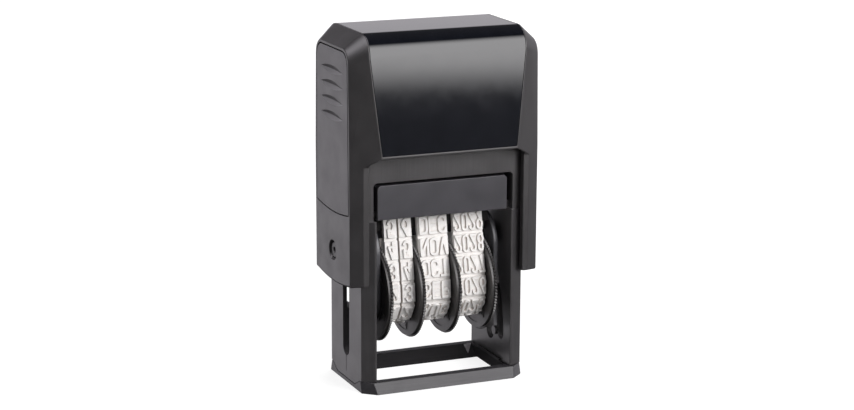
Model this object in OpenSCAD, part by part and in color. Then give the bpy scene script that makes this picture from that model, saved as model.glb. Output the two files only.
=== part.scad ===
// Self-inking date stamp at rest, in millimetres.
// The origin is the middle of the underside. X runs to the right, Y to the back and Z up.
// The front, where the ink cassette slides out, faces -Y.

/* [Motion] */
// Travel of the handle from rest to the paper
travel = 21.5; // [18:0.5:24]
// Distance from the flip axis to the print face
print_r = 8.9; // [8.5:0.1:9.6]
// Distance from the flip axis down to the wheel axle
axle_drop = 10.1; // [9.6:0.1:11]

/* [Date wheels and bands] */
// Width of a day band
day_band_w = 3; // [2.4:0.1:3.4]
// Width of the month band
month_band_w = 7.05; // [6:0.05:8]
// Width of the year band
year_band_w = 7.05; // [6:0.05:8]
// Thickness of a band's strip
band_t = 0.9; // [0.7:0.1:1.1]
// Height of the type blocks above the strip
type_h = 0.7; // [0.4:0.1:0.9]
// Number of type blocks round a band
type_n = 14; // [12:1:16]
// Gap between neighbouring type blocks
type_gap = 0.6; // [0.4:0.1:1]
// How far the bands stand turned from a block centred on the print face
type_phase = -1.9; // [-2.4:0.1:2.4]
// Radius of the drum that turns a band
drum_r = 6; // [5:0.1:6.4]
// Radius of a thumb disc over its teeth
disc_r = 11.2; // [10.5:0.1:11.6]
// Thickness of a thumb disc
disc_t = 1; // [0.8:0.1:1.3]
// Number of teeth on a thumb disc
tooth_n = 96; // [60:4:120]
// Depth of the teeth
tooth_d = 0.3; // [0.2:0.05:0.5]
// Width of the toothed edge of a thumb disc
tooth_w = 0.45; // [0.3:0.05:0.7]
// Step from the foot of the teeth down to the plain rim beside them
tooth_step = 0.12; // [0.1:0.02:0.3]
// Depth of the dished face of a thumb disc
dish_d = 0.15; // [0.1:0.05:0.3]
// Width of the rim round the dished face
disc_rim = 1.2; // [0.8:0.1:2]
// Diameter of the wheel axle
axle_d = 3; // [2:0.1:4]
// Thickness of the spacer at the right end of the axle
spacer_t = 0.75; // [0.6:0.05:1.5]

/* [Rocker] */
// Thickness of a rocker cheek
cheek_t = 1.1; // [0.8:0.1:1.5]
// Radius of a cheek round the wheel axle
cheek_axle_r = 6.6; // [5:0.1:8]
// Radius of a cheek's rounded top
cheek_top_r = 6.6; // [6:0.1:7.2]
// Distance from the flip axis down to the middle of a cheek's rounded top
cheek_drop = 0.7; // [0.4:0.1:3]
// Wall of a cheek round its follower pin
ear_wall = 0.9; // [0.6:0.1:1.2]
// Depth of the print bar between the corners of the bands
bar_flat = 5.4; // [4.6:0.1:6]
// Radius of the print bar's corners
bar_r = 0.9; // [0.6:0.1:1.2]
// Height of the print bar
bar_h = 3; // [2:0.1:3.4]
// Height of the web that joins the cheeks
web_h = 2.4; // [1.6:0.1:2.6]
// Thickness of the web that joins the cheeks
web_t = 3; // [2:0.1:5]
// Diameter of a pivot pin
pivot_d = 3.3; // [2.6:0.1:3.6]
// Diameter of the hole in the end of a pivot pin
pivot_hole_d = 1.3; // [0.8:0.1:1.6]
// Diameter of a follower pin
follower_d = 2.4; // [1.8:0.1:2.8]
// Distance of the follower pins from the flip axis
follower_r = 5.5; // [4.5:0.1:6]

/* [Frame] */
// Depth of the frame from front to back
frame_d = 21; // [20:0.1:23]
// Thickness of a post
post_t = 3.15; // [2.6:0.05:4]
// Width of the bevel on the frame's corners
bevel_w = 2.72; // [2:0.02:3]
// Depth of the bevel on the frame's corners
bevel_d = 1.3; // [1:0.1:1.8]
// Thickness of the frame's front and back walls
wall_t = 1.5; // [1:0.1:2]
// Distance by which the front and back walls stand back behind the posts
wall_inset = 0.6; // [0.4:0.05:0.9]
// Width of the bevels beside the front and back walls
wall_bevel_w = 2.3; // [2:0.02:2.6]
// Thickness of the deck over the ink cassette
deck_t = 2; // [1.2:0.1:2.6]
// Height of the walls above the deck
wall_rise = 4.2; // [3:0.1:6]
// Width of the slots that guide the pivot pins
slot_w = 3.7; // [3.68:0.02:4.2]
// Thickness of a post beside its slot, in front of the relief
slot_wall = 1; // [0.8:0.1:1.6]
// Reach of the relief behind a slot, towards the back
relief_y = 7.6; // [5:0.1:8]
// Height of the relief behind a slot
relief_h = 7; // [4:0.1:8]
// Depth of the cam grooves in the posts
groove_d = 1.1; // [0.8:0.1:1.6]
// Thickness of the rails that carry the ink cassette
rail_t = 1.2; // [0.8:0.1:1.3]
// Width of the rails that carry the ink cassette
rail_w = 1.9; // [1.2:0.1:2.2]
// Diameter of the detent boss inside each post
boss_d = 2; // [1.4:0.1:2.6]
// Height of the detent boss above the post's inner face
boss_h = 0.5; // [0.3:0.1:0.6]
// Height of the detent boss above the paper
boss_z = 8.8; // [6:0.1:10]

/* [Base ring] */
// Height of the base ring
base_h = 2.5; // [2:0.1:3.5]
// Distance by which the ring's front and back spread towards the paper
base_flare = 1.2; // [0.6:0.1:2]
// Distance by which the ring's sides stand out from the posts
base_side = 0.08; // [0.04:0.02:0.16]
// Angle of the ring's bevelled corners
base_corner_a = 49; // [40:1:55]
// Depth of the printing window at the paper
base_window_d = 11.4; // [11.2:0.1:13]
// Depth of the printing window at the top of the ring
base_mouth_d = 18; // [16:0.1:19]
// Depth of the post's tongue in the ring
tongue_h = 1.55; // [1:0.05:1.8]
// Width of a tongue at its lower edge
tongue_w = 10.7; // [8:0.1:12]
// Sideways run of a tongue's sloping ends
tongue_run = 2.95; // [2:0.05:3.5]
// Length of the ring's clips
clip_l = 11.5; // [8:0.1:13]
// Height of the ring's clips above the ring
clip_rise = 0.5; // [0.3:0.1:1]
// Thickness of the ring's clips
clip_t = 0.65; // [0.4:0.05:0.7]

/* [Ink cassette] */
// Width of the ink cassette
cassette_w = 30.6; // [29:0.1:32]
// Height of the cassette above the face of the pad
cassette_h = 6.4; // [5.4:0.1:8]
// Distance from the face of the pad up to the rails that carry the cassette
tray_rise = 0.4; // [0.2:0.1:0.8]
// Distance by which the front plate hangs below the face of the pad
plate_drop = 1.2; // [0.6:0.1:1.6]
// Thickness of the front plate
plate_t = 1.4; // [1:0.1:2]
// Size of the bevels on the front plate's upper corners
plate_bevel = 0.6; // [0.3:0.1:1.2]
// Distance of the front plate behind the frame's front
plate_inset = 1.1; // [0.6:0.1:1.6]
// Width of the ink pad
pad_w = 26.4; // [25:0.1:27.6]
// Depth of the ink pad
pad_d = 11.4; // [10:0.1:13]
// Thickness of the ink pad
pad_t = 4; // [3:0.1:4.6]

/* [Handle] */
// Thickness of an arm
arm_wall = 2.7; // [2.2:0.1:3.5]
// Depth of the flat sides
side_d = 20.8; // [20:0.1:22]
// Distance by which the flat sides draw in towards the top, at the front and at the back
side_draft = 0.5; // [0:0.1:1]
// Depth of the arms over their front and back strips
arm_d = 23.5; // [22.8:0.1:24.2]
// Width of the opening between the arms
opening_w = 36.2; // [35:0.1:37.2]
// Thickness of the head's front wall below the rounded edge
head_wall = 1.45; // [1.3:0.05:2.4]
// Distance by which the front leans out at its lower edge
face_lean = 1.2; // [0.6:0.1:2]
// Distance from the top down to the front's lower edge
face_drop = 26.35; // [24:0.1:28]
// Drop of the sloping ends of the front's lower edge
corner_drop = 1.85; // [1:0.05:3]
// Width of the top
top_w = 36.6; // [34:0.1:38]
// Thickness of the top
top_wall = 2; // [1.6:0.1:3]
// Radius of the rounded front and back edges of the top
top_r = 4.8; // [4:0.1:5.4]
// Drop of the bevels at the two ends of the top
shoulder_drop = 3.2; // [2:0.1:4]
// Radius of the sides' upper corners
shoulder_r = 3.3; // [2:0.1:4]
// Room left above the frame when the handle is down
head_room = 2.6; // [2.2:0.1:5]
// Distance by which the arms' lower edges bow down
skirt_bow = 1; // [0.6:0.05:1.2]
// Diameter of the recess round a pivot pin
recess_d = 4.4; // [4:0.1:5.4]
// Depth of the recess round a pivot pin
recess_h = 1; // [0.5:0.1:1.4]
// Distance from the side in to the end of a pivot pin
pin_inset = 0.4; // [0.2:0.05:0.8]

/* [Covers and grips] */
// Thickness of the glossy cover
cover_t = 0.8; // [0.6:0.05:0.9]
// Rim of the handle left beside the cover
cover_inset = 0.25; // [0.15:0.05:0.6]
// Rim of the handle left below the cover
cover_lip = 0.6; // [0.4:0.1:1.2]
// Thickness of a grip panel
grip_t = 0.8; // [0.6:0.1:1.2]
// Rim of the handle left round a grip panel
grip_margin = 0.6; // [0.4:0.1:1.2]
// Height of a grip panel at its edges
grip_h = 35.2; // [33:0.1:37]
// Radius of a grip panel's upper corners
grip_r = 2.9; // [1.5:0.1:4]
// Number of finger scoops on a grip panel
scoop_n = 4; // [2:1:6]
// Distance from one scoop to the next
scoop_pitch = 3.35; // [2.6:0.05:4]
// Distance from the panel's top to the first scoop
scoop_top = 4.9; // [3:0.1:6]
// Length of a scoop
scoop_l = 13.2; // [10:0.1:15]
// Height of a scoop in its middle
scoop_h = 1.9; // [1.2:0.1:3]
// Depth of a scoop in its middle
scoop_d = 0.5; // [0.3:0.05:0.55]

/* [Return spring] */
// Diameter of the spring's wire
wire_d = 0.9; // [0.6:0.1:1]
// Mean diameter of the spring's coil
coil_d = 11; // [9:0.5:14]
// Number of turns
coil_n = 6; // [4:1:6]
// Height of the boss that centres the spring on the deck
seat_h = 3; // [1:0.5:3]
// Height of the boss that centres the spring under the top
cap_seat_h = 2; // [1:0.5:2]

/* [Clearances] */
// Play between neighbouring wheels, and between wheels and cheeks
wheel_gap = 0.25; // [0.15:0.05:0.4]
// Play on each side of a band
band_play = 0.1; // [0.05:0.05:0.2]
// Play between a drum or the print bar's flat and its band
band_gap = 0.3; // [0.2:0.05:0.4]
// Radial play of the wheels on their axle and of the pivot pins in the arms
run_play = 0.05; // [0.02:0.01:0.08]
// Play of pieces that are fixed to each other
seat_play = 0.03; // [0.02:0.01:0.05]
// Gap between a cheek and a post
rocker_gap = 1.35; // [1.2:0.05:1.6]
// Play on each side of a follower pin in its groove
groove_play = 0.25; // [0.15:0.05:0.4]
// Gap between the frame and the handle
handle_gap = 0.35; // [0.3:0.05:0.5]
// Gap between the arms and the base ring when the handle is down
skirt_gap = 0.3; // [0.3:0.05:0.6]
// Gap between the print face and the ink pad
pad_gap = 0.3; // [0.2:0.05:0.6]
// Gap beside the ink cassette's front plate
bay_side_gap = 1.1; // [0.6:0.1:1.4]
// Gap above the ink cassette
bay_top_gap = 0.7; // [0.3:0.1:1]
// Play of the ink cassette on its rails
rail_play = 0.05; // [0.03:0.01:0.1]
// Gap behind the ink cassette
bay_back_gap = 0.3; // [0.2:0.1:0.8]
// Width of the groove round a grip panel
grip_gap = 0.2; // [0.1:0.05:0.35]

/* [Hidden] */
$fn = 96;
eps = 0.01;
cut = 1;
hull_fn = 32;

// Heights
pivot_z = travel + print_r;
axle_z = pivot_z - axle_drop;
print_z = pivot_z + print_r;
pad_z = print_z + pad_gap;
rail_z = pad_z + tray_rise;
cassette_top = pad_z + cassette_h;
plate_z = pad_z - plate_drop;
bay_top = cassette_top + bay_top_gap;
deck_z = bay_top + deck_t;
frame_top = deck_z + wall_rise;
well_z = frame_top + travel + head_room;
height = well_z + top_wall;

// Widths, from the wheels outwards
day_cell = day_band_w + 2 * band_play;
month_cell = month_band_w + 2 * band_play;
year_cell = year_band_w + 2 * band_play;
stack_w = 4 * disc_t + 2 * day_cell + month_cell + year_cell + 3 * wheel_gap;
rocker_in = (stack_w + 2 * wheel_gap + spacer_t) / 2;
rocker_x = rocker_in + cheek_t;
post_in = rocker_x + rocker_gap;
frame_x = post_in + post_t;
arm_in = frame_x + handle_gap;
side_x = arm_in + arm_wall;
bay_x = cassette_w / 2 + bay_side_gap;
wall_y = frame_d / 2 - wall_inset;

// Left end of each wheel's drum, and of each disc
drum_1 = -rocker_in + wheel_gap + disc_t;
drum_2 = drum_1 + day_cell + wheel_gap;
drum_3 = drum_2 + day_cell + disc_t + wheel_gap;
drum_4 = drum_3 + month_cell + disc_t + wheel_gap;
disc_1 = drum_1 - disc_t;
disc_2 = drum_2 + day_cell;
disc_3 = drum_3 + month_cell;
disc_4 = drum_4 + year_cell;
plain_r = disc_r - tooth_d - tooth_step;

// Loop of a band: two small corners at the print bar and one large turn at the drum
loop_c = bar_flat / 2;
loop_r = drum_r + band_gap;
loop_z = print_z - type_h - band_t - bar_r;
loop_span = loop_z - axle_z;
loop_reach = norm([loop_c, loop_span]);
loop_tilt = asin((loop_r - bar_r) / loop_reach) - atan2(loop_c, loop_span);
loop_side = sqrt(pow(loop_reach, 2) - pow(loop_r - bar_r, 2));
loop_corner = (bar_r + band_t) * (90 - loop_tilt) * PI / 180;
loop_turn = (loop_r + band_t) * (90 + loop_tilt) * PI / 180;
loop_half = loop_c + loop_corner + loop_side + loop_turn;
type_pitch = 2 * loop_half / type_n;

// Base ring
foot_d = frame_d / 2 + handle_gap;
base_x = frame_x + base_side;
corner_flare = base_flare / 2;

// Handle outline: the bevelled corner runs from the flat side to the glossy front
handle_in_d = frame_d / 2 + handle_gap;
head_d = handle_in_d + head_wall;
face_d = head_d + face_lean;
face_z = height - face_drop;
corner_z = face_z - corner_drop;
top_x = top_w / 2;
facet = (head_d - side_d / 2) / (side_x - top_x);
face_x = side_x - (face_d - side_d / 2) / facet;
strip_x = side_x - (arm_d / 2 - side_d / 2) / facet;
shoulder_z = height - shoulder_drop;
round_y = head_d - top_r;
round_z = height - top_r;
skirt_z = base_h + travel + skirt_gap;
skirt_r = (pow(side_d / 2, 2) + pow(skirt_bow, 2)) / (2 * skirt_bow);
skirt_mid = skirt_z - skirt_bow;
grip_top = shoulder_z - grip_margin;
grip_y = side_d / 2 - grip_margin;
scoop_r = pow(scoop_l / 2, 2) / (2 * scoop_d) + scoop_d / 2;

// Place and direction on a band's strip at the distance s from the middle of the print face.
// The list holds Y, Z and the angle of the outward normal; s below 0 runs down the front.
function half_loop_at(s) =
    s < loop_c ? [s, loop_z + bar_r + band_t, 90]
    : s < loop_c + loop_corner ? corner_at((s - loop_c) / (bar_r + band_t) * 180 / PI)
    : s < loop_c + loop_corner + loop_side ? side_at(s - loop_c - loop_corner)
    : turn_at((s - loop_c - loop_corner - loop_side) / (loop_r + band_t) * 180 / PI);
function corner_at(a) = [
    loop_c + (bar_r + band_t) * sin(a), loop_z + (bar_r + band_t) * cos(a), 90 - a
];
function side_at(d) = [
    loop_c + (bar_r + band_t) * cos(loop_tilt) + d * sin(loop_tilt),
    loop_z + (bar_r + band_t) * sin(loop_tilt) - d * cos(loop_tilt),
    loop_tilt
];
function turn_at(a) = [
    (loop_r + band_t) * cos(loop_tilt - a), axle_z + (loop_r + band_t) * sin(loop_tilt - a), loop_tilt - a
];
function loop_at(s) =
    let (p = half_loop_at(abs(s)))
    s < 0 ? [-p[0], p[1], 180 - p[2]] : p;
function wrapped(s) = s > loop_half ? s - 2 * loop_half : s < -loop_half ? s + 2 * loop_half : s;

// Path of a follower pin as the handle goes down and the rocker turns with it
function follower_at(a) = [follower_r * cos(a), pivot_z - travel * a / 180 + follower_r * sin(a)];
function follower_normal(a) =
    let (d = [-follower_r * sin(a), follower_r * cos(a) - travel / PI])
    [-d[1], d[0]] / norm(d);

// Helix of the return spring
coil_steps = 8;
coil_rings = coil_steps * coil_n;
coil_sides = 6;
coil_seat_d = coil_d * cos(180 / coil_steps) - wire_d - 2 * band_gap;
coil_low = deck_z + wire_d / 2 + seat_play;
coil_rise = well_z - deck_z - wire_d - 2 * seat_play;
function coil_at(i) = [
    coil_d / 2 * cos(360 * i / coil_steps),
    coil_d / 2 * sin(360 * i / coil_steps),
    coil_low + coil_rise * i / coil_rings
];
function coil_point(i, k) =
    let (a = 360 * i / coil_steps, b = 360 * k / coil_sides, r = wire_d / 2)
    coil_at(i) + [r * cos(b) * cos(a), r * cos(b) * sin(a), r * sin(b)];
coil_gap = min([
    for (i = [0 : coil_rings]) for (j = [i + coil_steps / 2 : 1 : coil_rings]) norm(coil_at(i) - coil_at(j))
]) - wire_d;
echo("least gap of the return spring to itself", coil_gap);

// Shapes that repeat

// Turns a shape drawn in Y and Z so that it runs along X from x to x + w
module along_x(x, w) {
    translate([x, 0, 0])
        rotate([90, 0, 90])
            linear_extrude(w)
                children();
}

// A round rod along X
module rod(x, w, d, z, y = 0) {
    along_x(x, w)
        translate([y, z])
            circle(d = d);
}

// A block between two corners
module block(low, high) {
    translate(low)
        cube(high - low);
}

// Both of a pair at the left and right
module both_sides() {
    for (m = [0, 1])
        mirror([m, 0, 0])
            children();
}

// Outline of a bevelled frame in plan
module bevelled(x, y, w, d) {
    polygon([
        [x, y - d], [x - w, y], [w - x, y], [-x, y - d],
        [-x, d - y], [w - x, -y], [x - w, -y], [x, d - y]
    ]);
}

// A round top joined to a round bottom by straight sides, in Y and Z
module teardrop(top_r, top_z, low_r, low_z) {
    a = asin((low_r - top_r) / (top_z - low_z));
    translate([0, top_z])
        circle(r = top_r);
    translate([0, low_z])
        circle(r = low_r);
    polygon([
        [top_r * cos(a), top_z + top_r * sin(a)], [-top_r * cos(a), top_z + top_r * sin(a)],
        [-low_r * cos(a), low_z + low_r * sin(a)], [low_r * cos(a), low_z + low_r * sin(a)]
    ]);
}

// Outline of a band's inner face, grown by off
module loop(off) {
    a = loop_tilt;
    small = bar_r + off;
    big = loop_r + off;
    for (s = [-1, 1])
        translate([s * loop_c, loop_z])
            circle(r = small);
    translate([0, axle_z])
        circle(r = big);
    polygon([
        [loop_c, loop_z + small], [-loop_c, loop_z + small],
        [-loop_c - small * cos(a), loop_z + small * sin(a)], [-big * cos(a), axle_z + big * sin(a)],
        [big * cos(a), axle_z + big * sin(a)], [loop_c + small * cos(a), loop_z + small * sin(a)]
    ]);
    polygon([
        [loop_c, loop_z + small], [-loop_c, loop_z + small],
        [-loop_c, loop_z], [loop_c, loop_z]
    ]);
}

// Base and frame

module base_ring() {
    corner_d = (frame_x - bevel_w) * cos(base_corner_a) + foot_d * sin(base_corner_a) + corner_flare / 2;
    color("#4a4a4e")
        difference() {
            intersection() {
                base_slope(foot_d);
                block([-base_x, -foot_d - 2 * base_flare, 0], [base_x, foot_d + 2 * base_flare, base_h]);
                rotate(base_corner_a - 90)
                    base_slope(corner_d, corner_flare);
                rotate(90 - base_corner_a)
                    base_slope(corner_d, corner_flare);
            }
            along_x(-post_in + clip_t + seat_play, 2 * (post_in - clip_t - seat_play))
                polygon([
                    [base_window_d / 2, -eps], [base_mouth_d / 2, base_h + eps],
                    [-base_mouth_d / 2, base_h + eps], [-base_window_d / 2, -eps]
                ]);
            both_sides()
                along_x(post_in - seat_play, post_t + cut)
                    tongue(seat_play);
        }
    color("#3a3a3e")
        both_sides()
            block(
                [post_in - clip_t - seat_play, -clip_l / 2, base_h - tongue_h],
                [post_in - seat_play, clip_l / 2, base_h + clip_rise]
            );
}

// A bar with sloping front and back, d deep to each side at its top
module base_slope(d, flare = base_flare) {
    along_x(-2 * frame_x, 4 * frame_x)
        polygon([[d + flare, 0], [d, base_h], [-d, base_h], [-d - flare, 0]]);
}

// The tongue that seats a post in the base ring
module tongue(play) {
    low = base_h - tongue_h - play;
    half = tongue_w / 2 + play;
    polygon([
        [half, low], [half + tongue_run + tongue_run / tongue_h * cut, base_h + cut],
        [-half - tongue_run - tongue_run / tongue_h * cut, base_h + cut], [-half, low]
    ]);
}

module lower_frame() {
    color("#4c4a4d")
        difference() {
            union() {
                translate([0, 0, base_h + seat_play])
                    linear_extrude(plate_z - base_h - seat_play)
                        bevelled(frame_x, frame_d / 2, bevel_w, bevel_d);
                translate([0, 0, plate_z - eps])
                    linear_extrude(frame_top - plate_z + eps)
                        bevelled(frame_x, wall_y, wall_bevel_w, bevel_d - wall_inset);
                both_sides()
                    intersection() {
                        along_x(post_in, post_t)
                            tongue(0);
                        linear_extrude(base_h + cut)
                            bevelled(frame_x, frame_d / 2, bevel_w, bevel_d);
                    }
            }
            block([-post_in, -frame_d, -cut], [post_in, frame_d, rail_z - rail_t]);
            bay();
            block([-bay_x, wall_t - wall_y, deck_z], [bay_x, wall_y - wall_t, frame_top + cut]);
            both_sides() {
                guide_slot();
                cam_groove();
            }
        }
    color("#4c4a4d") {
        both_sides()
            rod(post_in - boss_h, boss_h + eps, boss_d, boss_z, -(slot_w + boss_d) / 2);
        translate([0, 0, deck_z - eps])
            cylinder(d = coil_seat_d, h = seat_h + eps);
    }
}

// The hollow that the ink cassette slides in
module bay() {
    back = wall_y - wall_t;
    plate_y = plate_inset + plate_t - frame_d / 2 + rail_play;
    difference() {
        translate([0, back, 0])
            rotate([90, 0, 0])
                linear_extrude(back + frame_d)
                    polygon([
                        [bay_x, plate_z], [bay_x, bay_top - plate_bevel], [bay_x - plate_bevel, bay_top],
                        [plate_bevel - bay_x, bay_top], [-bay_x, bay_top - plate_bevel], [-bay_x, plate_z]
                    ]);
        both_sides()
            block([bay_x - rail_w, plate_y, plate_z - cut], [bay_x + cut, back + cut, rail_z]);
    }
    block([-bay_x + rail_w, plate_y, plate_z - cut], [bay_x - rail_w, back, rail_z + eps]);
}

module guide_slot() {
    low = pivot_z - travel - slot_w / 4;
    top = pivot_z + slot_w / 4;
    along_x(post_in - cut, post_t + 2 * cut) {
        translate([0, low])
            circle(d = slot_w);
        translate([0, top])
            circle(d = slot_w);
        translate([-slot_w / 2, low])
            square([slot_w, top - low]);
    }
    block([post_in - cut, -slot_w / 2, skirt_mid - relief_h], [frame_x - slot_wall, relief_y, skirt_mid]);
}

module cam_groove() {
    w = follower_d / 2 + groove_play;
    ends = [0 : 6 : 180];
    along_x(post_in - cut, cut + groove_d) {
        polygon(concat(
            [for (a = ends) follower_at(a) + w * follower_normal(a)],
            [for (a = ends) follower_at(180 - a) - w * follower_normal(180 - a)]
        ));
        for (a = [0, 180])
            translate(follower_at(a))
                circle(r = w);
    }
}

module return_spring() {
    last = coil_rings;
    sides = [0 : coil_sides - 1];
    function at(i, k) = i * coil_sides + k % coil_sides;
    color("silver")
        polyhedron(
            points = [for (i = [0 : last]) for (k = sides) coil_point(i, k)],
            faces = concat(
                [for (k = [1 : coil_sides - 2]) [0, k, k + 1]],
                [for (k = [1 : coil_sides - 2]) [at(last, 0), at(last, k + 1), at(last, k)]],
                [for (i = [0 : last - 1]) for (k = sides) [at(i, k), at(i + 1, k), at(i, k + 1)]],
                [for (i = [0 : last - 1]) for (k = sides) [at(i + 1, k), at(i + 1, k + 1), at(i, k + 1)]]
            )
        );
}

// Ink cassette

module pad_cassette() {
    front = plate_inset - frame_d / 2;
    back = wall_y - wall_t - bay_back_gap;
    x = cassette_w / 2;
    color("#4e4e54")
        difference() {
            union() {
                block([-x, front + plate_t - eps, rail_z + rail_play], [x, back, cassette_top]);
                translate([0, front + plate_t, 0])
                    rotate([90, 0, 0])
                        linear_extrude(plate_t)
                            polygon([
                                [x, plate_z], [x, cassette_top - plate_bevel],
                                [x - plate_bevel, cassette_top], [plate_bevel - x, cassette_top],
                                [-x, cassette_top - plate_bevel], [-x, plate_z]
                            ]);
            }
            block(
                [-pad_w / 2 - seat_play, -pad_d / 2 - seat_play, pad_z - cut],
                [pad_w / 2 + seat_play, pad_d / 2 + seat_play, pad_z + pad_t]
            );
        }
}

module ink_pad() {
    color("#23262f")
        block([-pad_w / 2, -pad_d / 2, pad_z], [pad_w / 2, pad_d / 2, pad_z + pad_t - seat_play]);
}

// Handle

module handle_shell() {
    color("#3c3b3d")
        difference() {
            union() {
                head_block();
                arm_block();
            }
            well();
            arm_opening();
            cover_space(seat_play);
            both_sides() {
                along_x(side_x - grip_t - seat_play, grip_t + cut)
                    grip_outline(grip_y);
                rod(arm_in - cut, arm_wall + 2 * cut, pivot_d + 2 * run_play, pivot_z);
                rod(side_x - recess_h, recess_h + cut, recess_d, pivot_z);
            }
        }
    color("#3c3b3d")
        translate([0, 0, well_z - cap_seat_h])
            cylinder(d = coil_seat_d, h = cap_seat_h + eps);
}

// The head: flat sides, bevelled corners, a leaning front and back and a rounded top
module head_block() {
    hull() {
        for (s = [-1, 1])
            for (t = [-1, 1]) {
                rod(s * (top_x - eps / 2) - eps / 2, eps, 2 * top_r, round_z, t * round_y, $fn = hull_fn);
                rod(
                    s * (side_x - eps / 2) - eps / 2, eps, 2 * shoulder_r,
                    shoulder_z - shoulder_r, t * (side_d / 2 - side_draft - shoulder_r), $fn = hull_fn
                );
                translate([s * face_x - eps / 2, t * (face_d - eps / 2) - eps / 2, face_z])
                    cube(eps);
                translate([s * strip_x - eps / 2, t * (arm_d / 2 - eps / 2) - eps / 2, corner_z])
                    cube(eps);
                translate([s * (side_x - eps / 2) - eps / 2, t * (side_d / 2 - eps / 2) - eps / 2, corner_z])
                    cube(eps);
            }
    }
}

// The two arms and the walls between them, with a bowed lower edge
module arm_block() {
    intersection() {
        along_x(-side_x, 2 * side_x)
            intersection() {
                translate([-arm_d / 2, skirt_mid])
                    square([arm_d, face_z - skirt_mid]);
                translate([0, skirt_mid + skirt_r])
                    circle(r = skirt_r, $fn = 4 * $fn);
            }
        linear_extrude(face_z)
            bevelled(side_x, arm_d / 2, side_x - strip_x, (arm_d - side_d) / 2);
    }
}

// The hollow that the frame slides in
module well() {
    slope_z = frame_top + travel + skirt_gap;
    translate([0, 0, -cut])
        linear_extrude(slope_z + cut)
            bevelled(arm_in, handle_in_d, bevel_w, bevel_d);
    along_x(-arm_in, 2 * arm_in)
        polygon([
            [handle_in_d - bevel_d, slope_z - eps], [round_y + bevel_d, well_z],
            [-round_y - bevel_d, well_z], [bevel_d - handle_in_d, slope_z - eps]
        ]);
}

// The opening between the arms, through the front and the back
module arm_opening() {
    x = opening_w / 2;
    slope = corner_drop / (strip_x - face_x);
    translate([0, frame_d, 0])
        rotate([90, 0, 0])
            linear_extrude(2 * frame_d)
                polygon([
                    [x, -cut], [x, face_z - (x - face_x) * slope], [face_x, face_z],
                    [-face_x, face_z], [-x, face_z - (x - face_x) * slope], [-x, -cut]
                ]);
}

// Side outline of the head's front, top and back, drawn in by off
module head_outline(off) {
    run = face_d - round_y;
    rise = round_z - face_z;
    lean = acos(top_r / norm([run, rise])) - atan2(rise, run);
    y = round_y + (top_r - off) * cos(lean);
    z = round_z + (top_r - off) * sin(lean);
    low = face_z - cut;
    foot = y + (z - low) * tan(lean);
    for (s = [-1, 1])
        translate([s * round_y, round_z])
            circle(r = top_r - off);
    polygon([
        [foot, low], [y, z], [round_y, round_z + top_r - off],
        [-round_y, round_z + top_r - off], [-y, z], [-foot, low]
    ]);
}

// The layer of the head that the glossy cover fills, grown by play
module cover_space(play) {
    slope = (top_x - face_x) / (round_z - face_z);
    low = face_z + cover_lip - play;
    low_x = face_x + cover_lip * slope - cover_inset + play;
    top_edge = top_x - cover_inset + play;
    intersection() {
        translate([0, 2 * frame_d, 0])
            rotate([90, 0, 0])
                linear_extrude(4 * frame_d)
                    polygon([
                        [low_x, low], [top_edge, round_z], [top_edge, height + cut],
                        [-top_edge, height + cut], [-top_edge, round_z], [-low_x, low]
                    ]);
        along_x(-side_x, 2 * side_x)
            difference() {
                head_outline(play > 0 ? -cut : 0);
                head_outline(cover_t + play);
            }
    }
}

module top_cover() {
    color("#14151a")
        cover_space(0);
}

// Outline of a grip panel, half as deep as y
module grip_outline(y, drawn_in = 0) {
    top = grip_top - drawn_in;
    low = grip_top - grip_h + drawn_in;
    bow = pow(y, 2) / (2 * skirt_r);
    top_y = y - side_draft;
    intersection() {
        union() {
            polygon([
                [y, low - bow], [top_y, top - grip_r], [top_y - grip_r, top],
                [grip_r - top_y, top], [-top_y, top - grip_r], [-y, low - bow]
            ]);
            for (s = [-1, 1])
                translate([s * (top_y - grip_r), top - grip_r])
                    circle(r = grip_r);
        }
        translate([0, low - bow + skirt_r])
            circle(r = skirt_r, $fn = 4 * $fn);
    }
}

module grip_panel() {
    color("#55545a")
        difference() {
            along_x(side_x - grip_t, grip_t)
                grip_outline(grip_y - grip_gap, grip_gap);
            for (i = [0 : scoop_n - 1])
                translate([side_x + scoop_r - scoop_d, 0, grip_top - scoop_top - i * scoop_pitch])
                    scoop();
        }
}

// A lens-shaped cutter: two flat cones joined at their rims
module scoop() {
    for (m = [0, 1])
        mirror([0, 0, m])
            translate([0, 0, -eps])
                cylinder(r1 = scoop_r, r2 = scoop_r - scoop_d, h = scoop_h / 2);
}

module grip_panel_left() {
    mirror([1, 0, 0])
        grip_panel();
}

module grip_panel_right() {
    grip_panel();
}

// Rocker

module rocker_frame() {
    web_x = rocker_in + cheek_t / 2;
    web_z = loop_z + bar_r - bar_h - web_h - seat_play;
    color("#3b3a3c") {
        difference() {
            both_sides()
                along_x(rocker_in, cheek_t) {
                    teardrop(cheek_top_r, pivot_z - cheek_drop, cheek_axle_r, axle_z);
                    translate([follower_r, pivot_z])
                        circle(d = follower_d + 2 * ear_wall);
                }
            rod(-rocker_x - cut, 2 * rocker_x + 2 * cut, axle_d + 2 * seat_play, axle_z);
            rod(-rocker_x - cut, 2 * rocker_x + 2 * cut, pivot_d + 2 * seat_play, pivot_z);
            rod(-rocker_x - cut, 2 * rocker_x + 2 * cut, follower_d + 2 * seat_play, pivot_z, follower_r);
        }
        block([-web_x, -web_t / 2, web_z], [web_x, web_t / 2, web_z + web_h]);
    }
}

module print_bar() {
    top = loop_z + bar_r;
    color("#5a5a5e")
        along_x(seat_play - rocker_in, 2 * (rocker_in - seat_play))
            intersection() {
                loop(-seat_play);
                translate([-2 * loop_c, top - bar_h])
                    square([4 * loop_c, 2 * bar_h]);
            }
}

module wheel_axle() {
    color("silver")
        rod(-rocker_x, 2 * rocker_x, axle_d, axle_z);
}

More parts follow.
